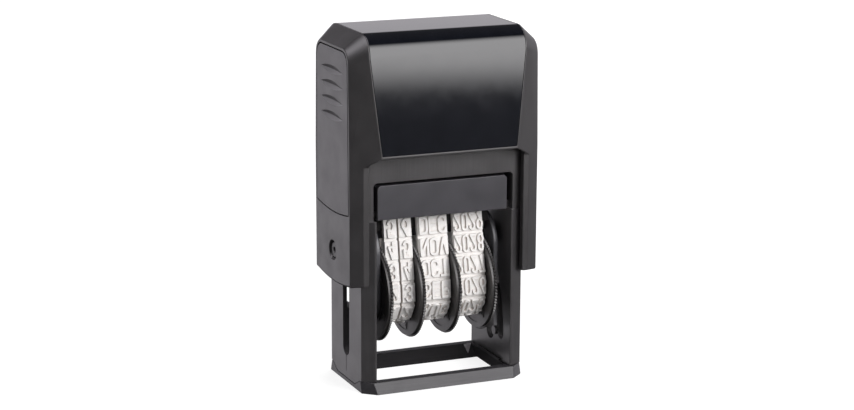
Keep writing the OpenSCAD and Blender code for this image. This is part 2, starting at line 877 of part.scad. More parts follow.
module axle_spacer() {
    color("#5a5a5e")
        difference() {
            rod(rocker_in - spacer_t, spacer_t - seat_play, 2 * axle_d, axle_z);
            rod(rocker_in - spacer_t - cut, spacer_t + 2 * cut, axle_d + 2 * seat_play, axle_z);
        }
}

module pivot_pin() {
    end = side_x - pin_inset;
    color("#2c2b2d")
        difference() {
            rod(rocker_in, end - rocker_in, pivot_d, pivot_z);
            rod(end - pivot_d / 2, pivot_d, pivot_hole_d, pivot_z);
        }
}

module pivot_pin_left() {
    mirror([1, 0, 0])
        pivot_pin();
}

module pivot_pin_right() {
    pivot_pin();
}

module follower_pin() {
    color("#2c2b2d")
        rod(rocker_in, post_in + groove_d - groove_play - rocker_in, follower_d, pivot_z, follower_r);
}

module follower_pin_left() {
    mirror([1, 0, 0])
        follower_pin();
}

module follower_pin_right() {
    follower_pin();
}

// Date bands and wheels

// A band w wide whose left edge is at x: a strip with raised type blocks
module band(x, w) {
    color("#ebe4e1")
        along_x(x, w)
            difference() {
                loop(band_t + type_h);
                loop(0);
                for (i = [0 : type_n - 1])
                    type_slot(wrapped((i + 0.5) * type_pitch - loop_half + type_phase));
            }
}

// The gap between two type blocks
module type_slot(s) {
    p = loop_at(s);
    translate([p[0], p[1]])
        rotate(p[2])
            translate([0, -type_gap / 2])
                square([type_h + cut, type_gap]);
}

module band_day_tens() {
    band(drum_1 + band_play, day_band_w);
}

module band_day_units() {
    band(drum_2 + band_play, day_band_w);
}

module band_month() {
    band(drum_3 + band_play, month_band_w);
}

module band_year() {
    band(drum_4 + band_play, year_band_w);
}

// A wheel: a drum w wide from x and a toothed thumb disc from disc_x
module wheel(x, w, disc_x) {
    color("#323031")
        difference() {
            union() {
                rod(min(x, disc_x), w + disc_t, 2 * drum_r, axle_z);
                rod(disc_x, disc_t, 2 * plain_r, axle_z);
                along_x(disc_x + disc_t - tooth_w, tooth_w)
                    translate([0, axle_z])
                        toothed_rim();
            }
            difference() {
                rod(disc_x - cut, cut + dish_d, 2 * (plain_r - disc_rim), axle_z);
                rod(disc_x - 2 * cut, 3 * cut + dish_d, 2 * (drum_r + disc_rim), axle_z);
            }
            rod(min(x, disc_x) - cut, w + disc_t + 2 * cut, axle_d + 2 * run_play, axle_z);
        }
}

module toothed_rim() {
    polygon([
        for (i = [0 : 2 * tooth_n - 1])
            (disc_r - (i % 2) * tooth_d) * [cos(180 * i / tooth_n), sin(180 * i / tooth_n)]
    ]);
}

module wheel_day_tens() {
    wheel(drum_1, day_cell, disc_1);
}

module wheel_day_units() {
    wheel(drum_2, day_cell, disc_2);
}

module wheel_month() {
    wheel(drum_3, month_cell, disc_3);
}

module wheel_year() {
    wheel(drum_4, year_cell, disc_4);
}

base_ring();
lower_frame();
return_spring();
pad_cassette();
ink_pad();
handle_shell();
top_cover();
grip_panel_left();
grip_panel_right();
rocker_frame();
print_bar();
wheel_axle();
axle_spacer();
pivot_pin_left();
pivot_pin_right();
follower_pin_left();
follower_pin_right();
band_day_tens();
band_day_units();
band_month();
band_year();
wheel_day_tens();
wheel_day_units();
wheel_month();
wheel_year();
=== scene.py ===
# %% [markdown]
# # A self-inking date stamp
# A small black office stamp stands on its foot. Pressing the head turns the date bands over, from the ink pad
# above them to the paper below. The frame of this scene is a imported CAD model: its solids are already in
# place, in metres, so the work here is finish, type, soft pieces and light. Loading comes first.

import math
import random

import bmesh
import bpy
from mathutils import Matrix, Vector
from mathutils.geometry import delaunay_2d_cdt


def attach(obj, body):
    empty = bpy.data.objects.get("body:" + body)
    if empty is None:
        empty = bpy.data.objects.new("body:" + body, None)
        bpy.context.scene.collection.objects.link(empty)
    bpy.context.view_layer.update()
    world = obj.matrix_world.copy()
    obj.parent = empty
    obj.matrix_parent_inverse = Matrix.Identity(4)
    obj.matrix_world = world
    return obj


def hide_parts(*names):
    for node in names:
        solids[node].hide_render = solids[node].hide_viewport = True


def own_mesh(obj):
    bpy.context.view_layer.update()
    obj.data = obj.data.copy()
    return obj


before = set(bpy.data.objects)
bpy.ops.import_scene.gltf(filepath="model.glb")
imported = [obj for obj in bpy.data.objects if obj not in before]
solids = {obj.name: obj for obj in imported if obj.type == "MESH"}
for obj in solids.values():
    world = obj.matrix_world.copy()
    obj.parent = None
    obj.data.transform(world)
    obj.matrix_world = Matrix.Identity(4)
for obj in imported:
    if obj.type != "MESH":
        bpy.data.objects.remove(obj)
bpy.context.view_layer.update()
MM = 0.001
random.seed(4)

# %% [markdown]
# ## The camera
# The picture was taken from the front left with a long lens, a little above the stamp. A camera is placed
# with a matrix here, not with a constraint: its three axes are right, up and back, and the fourth column is
# where it stands. The lens follows from the width of the picture, measured in its own pixels.

# %% Place the camera
PICTURE_WIDTH, FOCAL_PIXELS, SENSOR = 854, 2238.81, 36.0
AZIMUTH, ELEVATION, ROLL = (math.radians(a) for a in (-22.93, 13.34, 0.23))
AIM_HEIGHT, DISTANCE, SHIFT_RIGHT, SHIFT_DOWN = 39.5 * MM, 494.78 * MM, 0.19 * MM, 0.98 * MM


def into_scene(name, data):
    """An object in the scene for a camera, a lamp or a mesh."""
    made = bpy.data.objects.new(name, data)
    bpy.context.scene.collection.objects.link(made)
    return made


def direction(azimuth, elevation):
    """The way out from the stamp; azimuth 0 is to the front, a quarter turn to the right."""
    flat = math.cos(elevation)
    return Vector((math.sin(azimuth) * flat, -math.cos(azimuth) * flat, math.sin(elevation)))


back = direction(AZIMUTH, ELEVATION)
level = Vector((0, 0, 1)).cross(back).normalized()
rise = back.cross(level)
right = level * math.cos(ROLL) + rise * math.sin(ROLL)
up = rise * math.cos(ROLL) - level * math.sin(ROLL)
eye = Vector((0, 0, AIM_HEIGHT)) + back * DISTANCE + right * SHIFT_RIGHT - up * SHIFT_DOWN
camera = into_scene("camera", bpy.data.cameras.new("camera"))
camera.matrix_world = Matrix([(right[k], up[k], back[k], eye[k]) for k in range(3)] + [(0, 0, 0, 1)])
camera.data.sensor_fit = "HORIZONTAL"
camera.data.sensor_width = SENSOR
camera.data.lens = SENSOR * FOCAL_PIXELS / PICTURE_WIDTH
camera.data.clip_start, camera.data.clip_end = 0.01, 20
bpy.context.scene.camera = camera
bpy.context.scene.view_settings.view_transform = "Standard"
print("camera at", [round(c, 3) for c in eye], "lens", round(camera.data.lens, 1))

# %% [markdown]
# ## Node helpers
# Every finish below is a small graph of shader nodes. The helpers keep the cells short: a node is added with
# what goes into it, which is a plain value, another node, or a pair of a node and one of its outputs. Sockets
# are named by their label or number.


# %% Node helpers
def feed(tree, node, socket, value):
    """Links a node's first output, or a (node, output) pair, to a socket, or sets a plain value on it."""
    source = value if isinstance(value, tuple) else (value, 0)
    if isinstance(source[0], bpy.types.Node):
        tree.links.new(source[0].outputs[source[1]], node.inputs[socket])
    else:
        node.inputs[socket].default_value = value


def add_node(tree, kind, inputs=None, **settings):
    made = tree.nodes.new(kind)
    for key, value in settings.items():
        setattr(made, key, value)
    for socket, value in (inputs or {}).items():
        feed(tree, made, socket, value)
    return made


def maths(tree, operation, *terms):
    return add_node(tree, "ShaderNodeMath", dict(enumerate(terms)), operation=operation)


def axes(tree, source):
    """A node that parts a vector into X, Y and Z."""
    return add_node(tree, "ShaderNodeSeparateXYZ", {0: source})


def span(tree, source, low, high, to_low, to_high):
    """A Map Range node that takes low..high to to_low..to_high, held at both ends."""
    return add_node(tree, "ShaderNodeMapRange", {0: source, 1: low, 2: high, 3: to_low, 4: to_high})


def mix_colour(tree, factor, first, second, blend="MIX"):
    """A Mix node for colours, as a pair with its colour output."""
    sockets = {0: factor, 6: first, 7: second}
    return add_node(tree, "ShaderNodeMix", sockets, data_type="RGBA", blend_type=blend), 2


def new_group(name, inputs, outputs, tree_kind="ShaderNodeTree"):
    """A node group with named sockets; gives the tree, its input node and its output node."""
    tree = bpy.data.node_groups.new(name, tree_kind)
    for label, kind, *value in inputs:
        socket = tree.interface.new_socket(label, in_out="INPUT", socket_type="NodeSocket" + kind)
        if value:
            socket.default_value = value[0]
    for label, kind in outputs:
        tree.interface.new_socket(label, in_out="OUTPUT", socket_type="NodeSocket" + kind)
    return tree, tree.nodes.new("NodeGroupInput"), tree.nodes.new("NodeGroupOutput")


def new_finish(name, constants=None):
    """A material, its tree and its Principled shader, with constant values on the shader's own sockets."""
    finish = bpy.data.materials.new(name)
    finish.use_nodes = True
    shader = finish.node_tree.nodes["Principled BSDF"]
    for label, value in (constants or {}).items():
        shader.inputs[label].default_value = value
    return finish, finish.node_tree, shader


def new_mesh(name, points, faces, finish):
    mesh = bpy.data.meshes.new(name)
    mesh.from_pydata(points, [], faces)
    mesh.materials.append(finish)
    return mesh


print("node helpers ready")

# %% [markdown]
# ## Studio floor
# The stamp stands on a pale sweep that photographs as white. A floor could be lit until it clips, but that
# light would also wash out the stamp. Here Light Path tells the floor which ray is asking: the camera gets a
# floor that is almost white by itself, with some plain diffuse on top so that the soft shadow stays. Mirror
# rays pass the floor and find the studio round it, so that black plastic shows no edge of the floor.

# %% Lay the floor
FLOOR_HALF, FLOOR_Z, FLOOR_GREY, FLOOR_GLOW = 4.0, -0.00002, 0.36, 0.82
WHITE = (1, 1, 1, 1)


def floor_finish():
    finish, tree, _ = new_finish("studio_floor")
    tree.nodes.clear()
    path = add_node(tree, "ShaderNodeLightPath")
    paper = add_node(tree, "ShaderNodeBsdfDiffuse", {"Color": (FLOOR_GREY, FLOOR_GREY, FLOOR_GREY, 1)})
    glow = add_node(tree, "ShaderNodeEmission", {"Color": WHITE, "Strength": FLOOR_GLOW})
    seen = add_node(tree, "ShaderNodeAddShader", {0: paper, 1: glow})
    either = add_node(tree, "ShaderNodeMixShader", {0: (path, "Is Camera Ray"), 1: paper, 2: seen})
    add_node(tree, "ShaderNodeOutputMaterial", {"Surface": either})
    return finish


corners = [(x * FLOOR_HALF, y * FLOOR_HALF, FLOOR_Z) for x, y in ((-1, -1), (1, -1), (1, 1), (-1, 1))]
floor = into_scene("floor", new_mesh("floor", corners, [(0, 1, 2, 3)], floor_finish()))
floor.visible_glossy = False
print("floor laid,", 2 * FLOOR_HALF, "m wide")

# %% [markdown]
# ## Sky of the studio
# The world gives the room's own light. To the camera it is white. To mirror rays it is a white band low
# behind the stamp, a soft light overhead to the left, and dark elsewhere, which is what leaves the black
# stripe on the rounded top edge. To everything else it is an even, fairly weak fill.

# %% Set the world
FILL, BAND_GLOW, OVERHEAD_GLOW = 0.34, 1.28, 8.0
BAND_BACK = (-0.35, 0.20, 0.04, BAND_GLOW)
BAND_FOOT, BAND_TOP = (-0.42, -0.27, 0.06, 1.0), (-0.04, 0.40, 1.0, 0.05)
OVERHEAD, OVERHEAD_REACH = (-0.36, 0.02, 0.93), (0.80, 0.97, 0.0, OVERHEAD_GLOW)
MIRROR_TINT = (1.0, 0.965, 1.02, 1)


def set_world():
    world = bpy.data.worlds.new("studio")
    bpy.context.scene.world = world
    world.use_nodes = True
    tree = world.node_tree
    tree.nodes.clear()
    path = add_node(tree, "ShaderNodeLightPath")
    toward = (add_node(tree, "ShaderNodeTexCoord"), "Generated")
    place = axes(tree, toward)
    band = span(tree, (place, "Y"), *BAND_BACK)
    for limit in (BAND_FOOT, BAND_TOP):
        band = maths(tree, "MULTIPLY", band, span(tree, (place, "Z"), *limit))
    across = add_node(tree, "ShaderNodeVectorMath", {0: toward, 1: OVERHEAD}, operation="DOT_PRODUCT")
    mirrored = maths(tree, "ADD", band, span(tree, (across, "Value"), *OVERHEAD_REACH))
    white = add_node(tree, "ShaderNodeBackground", {"Color": WHITE, "Strength": 1.0})
    fill = add_node(tree, "ShaderNodeBackground", {"Color": WHITE, "Strength": FILL})
    mirror = add_node(tree, "ShaderNodeBackground", {"Color": MIRROR_TINT, "Strength": mirrored})
    seen = maths(tree, "MAXIMUM", (path, "Is Camera Ray"), (path, "Is Transmission Ray"))
    plain = add_node(tree, "ShaderNodeMixShader", {0: seen, 1: fill, 2: white})
    either = add_node(tree, "ShaderNodeMixShader", {0: (path, "Is Glossy Ray"), 1: plain, 2: mirror})
    add_node(tree, "ShaderNodeOutputWorld", {"Surface": either})
    return world


print("world:", set_world().name, "fill", FILL)

# %% [markdown]
# ## Lamps and the softbox
# Three large soft lamps shape the black plastic: one from the front right, a weaker one from the left and one
# from the back right. They are hidden from mirror rays, so they leave no square highlights. What the glossy
# cover and the rounded edges mirror is a tall softbox in front, to the right: a card that is dark up to the
# middle of the stamp, comes on within fifteen millimetres, glows evenly and fades out high up. Only mirror
# rays see it.

# %% Hang the lamps
LAMP_DISTANCE, LAMP_SIZE, LAMP_AIM = 0.9, 0.5, 0.04


def hang_lamp(name, azimuth_deg, elevation_deg, watts):
    """A square area lamp aimed at the middle of the stamp."""
    toward = direction(math.radians(azimuth_deg), math.radians(elevation_deg))
    lamp = bpy.data.lights.new(name, "AREA")
    lamp.size, lamp.energy = LAMP_SIZE, watts
    holder = into_scene(name, lamp)
    holder.location = Vector((0, 0, LAMP_AIM)) + toward * LAMP_DISTANCE
    holder.rotation_mode = "QUATERNION"
    holder.rotation_quaternion = toward.to_track_quat("Z", "Y")
    holder.visible_camera = holder.visible_glossy = False
    return holder


for name, *place in (("key_lamp", 28, 24, 7.0), ("left_lamp", -78, 20, 0.9), ("back_lamp", 140, 38, 3.0)):
    print(hang_lamp(name, *place).name, place)

# %% Stand the softbox
BOX_AZIMUTH, BOX_DISTANCE, BOX_HALF = math.radians(23.0), 0.30, 0.17
BOX_LOW, BOX_HIGH = -0.06, 0.62
BOX_STRENGTH, BOX_TINT = 6.5, (1, 0.985, 0.99, 1)
BOX_GLOW = ((0.040, 0.0555, 0.02, 1.0), (0.26, 0.57, 1.0, 0.0))


def softbox():
    """A glowing card; a row of BOX_GLOW takes a stretch of height in m from one share of glow to another."""
    finish, tree, _ = new_finish("softbox")
    tree.nodes.clear()
    place = axes(tree, (add_node(tree, "ShaderNodeNewGeometry"), "Position"))
    strength = BOX_STRENGTH
    for row in BOX_GLOW:
        ramp = span(tree, (place, "Z"), *row)
        ramp.interpolation_type = "SMOOTHSTEP"
        strength = maths(tree, "MULTIPLY", strength, ramp)
    glow = add_node(tree, "ShaderNodeEmission", {"Color": BOX_TINT, "Strength": strength})
    add_node(tree, "ShaderNodeOutputMaterial", {"Surface": glow})
    middle = direction(BOX_AZIMUTH, 0) * BOX_DISTANCE
    along = direction(BOX_AZIMUTH + math.pi / 2, 0) * BOX_HALF
    points = [middle + along * k + Vector((0, 0, z)) for z in (BOX_LOW, BOX_HIGH) for k in (-1, 1)]
    card = into_scene("softbox", new_mesh("softbox", points, [(0, 1, 3, 2)], finish))
    card.visible_camera = card.visible_diffuse = card.visible_shadow = card.visible_transmission = False
    return card


print(softbox().name, "stands", BOX_DISTANCE, "m in front")

# %% [markdown]
# ## Grain of moulded plastic
# The black pieces come from an etched mould, so the surface has a fine even grain, a slight unevenness of
# tone and places that are a little smoother. This is one node group, used with other values in each plastic:
# it gives a colour, a roughness and a height. Its coordinates are those of the object, so the grain stays on
# a piece when it moves.

# %% Build the grain group
NOISE_RANGE = (0.3, 0.7)
BROAD_SCALE = 230.0


def build_grain():
    tree, given, result = new_group(
        "moulded_grain",
        [("Colour", "Color", (0.05, 0.05, 0.05, 1)), ("Grain", "Float", 5000.0), ("Unevenness", "Float", 0.1),
         ("Roughness", "Float", 0.4), ("Spread", "Float", 0.05)],
        [("Colour", "Color"), ("Roughness", "Float"), ("Height", "Float")],
    )
    place = (add_node(tree, "ShaderNodeTexCoord"), "Object")
    near = {"Vector": place, "Scale": (given, "Grain"), "Detail": 2.0, "Roughness": 0.6}
    far = {"Vector": place, "Scale": BROAD_SCALE, "Detail": 4.0, "Roughness": 0.55}
    fine, broad = add_node(tree, "ShaderNodeTexNoise", near), add_node(tree, "ShaderNodeTexNoise", far)
    swing = span(tree, (broad, "Fac"), *NOISE_RANGE, -1.0, 1.0)
    speck = span(tree, (fine, "Fac"), *NOISE_RANGE, -0.5, 0.5)
    tone = maths(tree, "MULTIPLY_ADD", maths(tree, "ADD", swing, speck), (given, "Unevenness"), 1.0)
    feed(tree, result, "Colour", mix_colour(tree, 1.0, (given, "Colour"), tone, "MULTIPLY"))
    rough = maths(tree, "MULTIPLY_ADD", swing, (given, "Spread"), (given, "Roughness"))
    feed(tree, result, "Roughness", rough)
    feed(tree, result, "Height", (fine, "Fac"))
    return tree


grain_group = build_grain()
print(grain_group.name, len(grain_group.nodes), "nodes")

# %% [markdown]
# ## Flow streaks
# Plastic that slides on another piece, or that ran a long way through its mould, shows fine lines along one
# direction. A stretched noise gives them. The group puts out a tone around 1 and a height, and its vector
# input says how fine the lines are along each axis.


# %% Build the streak group
def build_streaks():
    tree, given, result = new_group(
        "flow_streaks",
        [("Fineness", "Vector", (100.0, 2000.0, 2000.0)), ("Strength", "Float", 0.2)],
        [("Tone", "Float"), ("Height", "Float")],
    )
    place = (add_node(tree, "ShaderNodeTexCoord"), "Object")
    stretch = add_node(tree, "ShaderNodeVectorMath", {0: place, 1: (given, "Fineness")}, operation="MULTIPLY")
    noise = {"Vector": stretch, "Scale": 1.0, "Detail": 3.0, "Roughness": 0.6}
    lines = add_node(tree, "ShaderNodeTexNoise", noise)
    swing = span(tree, (lines, "Fac"), *NOISE_RANGE, -1.0, 1.0)
    feed(tree, result, "Tone", maths(tree, "MULTIPLY_ADD", swing, (given, "Strength"), 1.0))
    feed(tree, result, "Height", (lines, "Fac"))
    return tree


streak_group = build_streaks()
print(streak_group.name, len(streak_group.nodes), "nodes")

# %% [markdown]
# ## Inner faces
# The plastic differs inside: the inner faces of the frame are a little darker, a painted shade, its slots are
# dull, and the walls of its cam grooves are lighter, a painted light. The window and the top faces of the
# foot are darkened with painted shade. A third group says where that is: it puts out 1 inside a box, the same
# on both sides of the middle, and 0 elsewhere.


# %% Build the inside group
def build_inside():
    tree, given, result = new_group(
        "inside_mask",
        [("Least", "Vector", (0.0, 0.0, 0.0)), ("Most", "Vector", (1.0, 1.0, 1.0))],
        [("Mask", "Float")],
    )
    place = axes(tree, (add_node(tree, "ShaderNodeTexCoord"), "Object"))
    least, most = axes(tree, (given, "Least")), axes(tree, (given, "Most"))
    mask = 1.0
    for axis in "XYZ":
        size = maths(tree, "ABSOLUTE", (place, axis))
        for bound, operation in ((least, "GREATER_THAN"), (most, "LESS_THAN")):
            mask = maths(tree, "MULTIPLY", mask, maths(tree, operation, size, (bound, axis)))
    feed(tree, result, "Mask", mask)
    return tree


inside_group = build_inside()
print(inside_group.name, len(inside_group.nodes), "nodes")

# %% [markdown]
# ## Groups at work
# Each material uses the groups in the same few ways, so these get a function each: the grain with its values,
# the streaks, a bump on a group's height, and the links into the Principled shader, which stays in the
# material.


# %% Finish helpers
def add_grain(tree, colour, roughness, grain, uneven, spread):
    values = {"Colour": (*colour, 1), "Roughness": roughness, "Grain": grain, "Unevenness": uneven,
              "Spread": spread}
    return add_node(tree, "ShaderNodeGroup", values, node_tree=grain_group)


def add_streaks(tree, fineness, strength=0.2):
    values = {"Fineness": fineness, "Strength": strength}
    return add_node(tree, "ShaderNodeGroup", values, node_tree=streak_group)


def add_bump(tree, source, strength, distance):
    """A Bump node on a group's height, its distance in mm."""
    values = {"Height": (source, "Height"), "Strength": strength, "Distance": distance * MM}
    return add_node(tree, "ShaderNodeBump", values)


def wire(tree, shader, tone, rough, relief):
    for label, source in (("Base Color", tone), ("Roughness", rough), ("Normal", relief)):
        feed(tree, shader, label, source)


print("finish helpers ready")

# %% [markdown]
# ## Plastics
# One function makes each plastic from the grain group and, where a piece has them, streaks, boxes of painted
# shade and light, and a painted highlight on slopes. The handle is satin black. The grip panels are a shade
# lighter and softer, and the slopes of their scoops that look upwards get a pale painted highlight: the
# height of the surface normal finds them. The frame is a little smoother, the cassette is bluish, the rocker
# is the lightest, and the bar behind the print face is the dullest.

# %% Mix the plastics
LIT_SLOPE_STARTS, LIT_SLOPE_ENDS = (0.25, 0.40), (0.55, 0.70)
MOULD_BUMP, STREAK_BUMP = 0.04, 0.03


def plastic(name, colour, roughness, grain=5200.0, bump=0.12, uneven=0.08, spread=0.04, ior=1.5, streaks=None,
            inside=(), lit_slopes=None):
    """streaks is None or (fineness along x, y and z, strength in the tone, strength in the bump).
    inside lists boxes of other finish, whose share of the colour paints shade below 1 and light above 1:
    (least and most x, y and z in mm, share of the colour, roughness).
    lit_slopes is None or (colour, share of it): a pale painted highlight on slopes that look upwards."""
    finish, tree, shader = new_finish(name, {"IOR": ior})
    skin = add_grain(tree, colour, roughness, grain, uneven, spread)
    tone, rough, relief = (skin, "Colour"), (skin, "Roughness"), add_bump(tree, skin, bump, MOULD_BUMP)
    if streaks:
        fineness, tone_strength, bump_strength = streaks
        lines = add_streaks(tree, fineness, tone_strength)
        tone = mix_colour(tree, 1.0, tone, (lines, "Tone"), "MULTIPLY")
        streaked = add_bump(tree, lines, bump_strength, STREAK_BUMP)
        feed(tree, streaked, "Normal", relief)
        relief = streaked
    # painted shade where a box's share of the colour is below 1, painted light where it is above 1
    for least, most, share, inner_roughness in inside:
        corners = {"Least": Vector(least) * MM, "Most": Vector(most) * MM}
        mask = add_node(tree, "ShaderNodeGroup", corners, node_tree=inside_group)
        tone = mix_colour(tree, mask, tone, (share, share, share, 1), "MULTIPLY")
        rough = add_node(tree, "ShaderNodeMix", {0: mask, 2: rough, 3: inner_roughness}, data_type="FLOAT")
    # painted highlight: slopes that look upwards are mixed towards a pale colour, as if lit from above
    if lit_slopes:
        pale, share = lit_slopes
        height = (axes(tree, (add_node(tree, "ShaderNodeTexCoord"), "Normal")), "Z")
        slope = maths(tree, "MULTIPLY", span(tree, height, *LIT_SLOPE_STARTS, 0.0, share),
                      span(tree, height, *LIT_SLOPE_ENDS, 1.0, 0.0))
        tone = mix_colour(tree, slope, tone, (*pale, 1))
    wire(tree, shader, tone, rough, relief)
    return finish


case_black = plastic("case_black", (0.031, 0.029, 0.0305), 0.40)
grip_black = plastic("grip_black", (0.047, 0.0438, 0.048), 0.42, grain=3600.0, bump=0.2,
                     lit_slopes=((0.225, 0.216, 0.231), 0.9))
# painted shade on the inner faces, duller slot walls, and painted light on the walls of the cam grooves
frame_black = plastic("frame_black", (0.042, 0.0396, 0.0415), 0.36, bump=0.08,
                      streaks=((2500.0, 2500.0, 60.0), 0.10, 0.14),
                      inside=(((15.3, -1, -1), (15.96, 10.4, 38.3), 0.85, 0.40),
                              ((15.96, -1, 5), (19.0, 1.9, 34), 1.0, 0.8),
                              ((15.96, 1.95, 5), (18.9, 6.0, 34), 2.0, 0.5)))
# painted shade in the window of the foot and on its top faces
base_black = plastic("base_black", (0.032, 0.0305, 0.034), 0.35, bump=0.08, ior=1.36,
                     streaks=((130.0, 900.0, 2600.0), 0.16, 0.15),
                     inside=(((-1, -1, -1), (15.95, 9.02, 9), 0.3, 0.85),
                             ((-1, -1, 2.44), (99, 99, 9), 0.6, 0.6)))
cassette_black = plastic("cassette_black", (0.039, 0.0372, 0.0432), 0.38)
rocker_black = plastic("rocker_black", (0.066, 0.065, 0.072), 0.36, bump=0.04, spread=0.03)
wheel_black = plastic("wheel_black", (0.031, 0.0287, 0.0287), 0.41, grain=6500.0, bump=0.15)
bar_black = plastic("bar_black", (0.012, 0.0112, 0.011), 0.60, bump=0.05, ior=1.2)
pin_black = plastic("pin_black", (0.022, 0.021, 0.022), 0.36, bump=0.05)
print("plastics:", [m.name for m in bpy.data.materials if m.name.endswith("_black")])

# %% [markdown]
# ## The glossy cover
# The cover over the front, top and back is the only polished piece: blue-black, nearly a mirror, with very
# faint lines down its height. A clear coat could give the gloss, but polished plastic is one surface, so a
# low roughness is enough, and the lines come from a weak bump.

# %% Polish the cover
GROOVE_REACH, GROOVE_SPAN = 0.8 * MM, (0.2, 0.75, 0.6, 0.0)


def skinned(name, constants, values, bump, fineness=None, groove_shade=None):
    """A finish with one bump, on the grain or, with a fineness, on streaks; groove_shade paints a shade of
    that colour into the hollows.
    """
    finish, tree, shader = new_finish(name, constants)
    skin = add_grain(tree, *values)
    tone = (skin, "Colour")
    if groove_shade:
        # painted shade: Ambient Occlusion darkens the hollows towards a brownish tint
        hollow = add_node(tree, "ShaderNodeAmbientOcclusion", {"Distance": GROOVE_REACH}, samples=8)
        tone = mix_colour(tree, span(tree, (hollow, "AO"), *GROOVE_SPAN), tone, groove_shade)
    relief = add_streaks(tree, fineness) if fineness else skin
    wire(tree, shader, tone, (skin, "Roughness"), add_bump(tree, relief, *bump))
    return finish


cover_polished = skinned("cover_polished", {"IOR": 1.52},
                         ((0.0065, 0.0072, 0.0105), 0.07, 900.0, 0.12, 0.015), (0.02, 0.02),
                         (1400.0, 1400.0, 40.0))
print(cover_polished.name)

# %% [markdown]
# ## Rubber, felt and steel
# The date bands are warm white rubber, and the grooves between the characters get a brownish painted shade.
# Ambient Occlusion finds those grooves whatever the shape, so one mask does for strip, blocks and characters.
# The ink pad is felt: a coarse grain with a strong bump and a little sheen. The axle and the spring are drawn
# steel with lines along the wire.

# %% Mix rubber, felt and steel
GROOVE_SHADE_TINT = (0.40, 0.32, 0.26, 1)
STEEL_GRAIN, STEEL_BUMP = (4000.0, 0.08, 0.08), (0.2, 0.03)
band_white = skinned("band_rubber_white", {"IOR": 1.45}, ((0.84, 0.815, 0.80), 0.55, 2600.0, 0.04, 0.06),
                     (0.15, 0.05), groove_shade=GROOVE_SHADE_TINT)
axle_steel = skinned("axle_drawn", {"Metallic": 1.0}, ((0.62, 0.61, 0.60), 0.28, *STEEL_GRAIN),
                     STEEL_BUMP, (60.0, 3000.0, 3000.0))
spring_steel = skinned("spring_drawn", {"Metallic": 1.0}, ((0.56, 0.56, 0.57), 0.32, *STEEL_GRAIN),
                       STEEL_BUMP, (700.0, 700.0, 4000.0))
felt_blue = skinned("ink_felt_blue", {"Sheen Weight": 0.25, "Sheen Roughness": 0.6},
                    ((0.016, 0.018, 0.030), 0.85, 2400.0, 0.35, 0.1), (0.8, 0.2))
print("also:", band_white.name, axle_steel.name, spring_steel.name, felt_blue.name)

# %% [markdown]
# ## Soft edges for the solids
# A moulded edge is never sharp: a radius of a tenth or two of a millimetre catches a thin line of light. The
# meshes of the solids stay as they are, so modifiers make the radius: Weld joins the split vertices, a planar
# Decimate clears the triangles from flat faces, a geometry node tree weighs the edges that are steep enough,
# Bevel rounds those, a second tree shades smooth across shallow angles, and Weighted Normal keeps the flats
# flat. A place that needs another radius is named by a box with its own share of the widest bevel: little or
# none where edges run close together, all of it at the ends of the arms.

# %% Build the shading tree
ROUND_FROM, CRISP_ROUNDED, CRISP_PLAIN, CRISP_SCOOPS = 22, 50, 22, 12


def new_modifier_tree(name):
    shape = [("Geometry", "Geometry")]
    return new_group(name, shape, shape, "GeometryNodeTree")


def steeper_than(tree, limit_deg):
    angle = (tree.nodes.new("GeometryNodeInputMeshEdgeAngle"), "Unsigned Angle")
    values = {0: angle, 1: math.radians(limit_deg)}
    return add_node(tree, "FunctionNodeCompare", values, operation="GREATER_THAN")


def build_shading(limit_deg):
    tree, given, result = new_modifier_tree("soft_shading_%d" % limit_deg)
    bare = add_node(tree, "GeometryNodeRemoveAttribute", {"Geometry": given, "Name": "custom_normal"})
    every = {"Geometry": bare, "Shade Smooth": True}
    smooth = add_node(tree, "GeometryNodeSetShadeSmooth", every, domain="FACE")
    steep = {"Geometry": smooth, "Selection": steeper_than(tree, limit_deg), "Shade Smooth": False}
    feed(tree, result, 0, add_node(tree, "GeometryNodeSetShadeSmooth", steep, domain="EDGE"))
    return tree


soft_shading = {limit: build_shading(limit) for limit in (CRISP_SCOOPS, CRISP_PLAIN, CRISP_ROUNDED)}
print([tree.name for tree in soft_shading.values()])


# %% Build the weighing tree
def build_weights(name, share, boxes):
    """Gives each steep edge a share of the bevel. A box, of middle, half size in mm and own share, holds on
    both sides of x."""
    tree, given, result = new_modifier_tree(name)
    place = axes(tree, tree.nodes.new("GeometryNodeInputPosition"))
    mirrored = maths(tree, "ABSOLUTE", (place, "X"))
    for middle, half, own_share in boxes:
        inside = None
        for source, m, h in zip((mirrored, (place, "Y"), (place, "Z")), middle, half):
            values = {0: source, 1: m * MM, "Epsilon": h * MM}
            near = add_node(tree, "FunctionNodeCompare", values, operation="EQUAL")
            if inside is not None:
                near = add_node(tree, "FunctionNodeBooleanMath", {0: inside, 1: near}, operation="AND")
            inside = near
        choice = {"Switch": inside, "False": share, "True": own_share}
        share = add_node(tree, "GeometryNodeSwitch", choice, input_type="FLOAT")
    weight = {"Geometry": given, "Selection": steeper_than(tree, ROUND_FROM), "Name": "bevel_weight_edge",
              "Value": share}
    weighed = add_node(tree, "GeometryNodeStoreNamedAttribute", weight, data_type="FLOAT", domain="EDGE")
    feed(tree, result, 0, weighed)
    return tree


print("weighing tree ready")

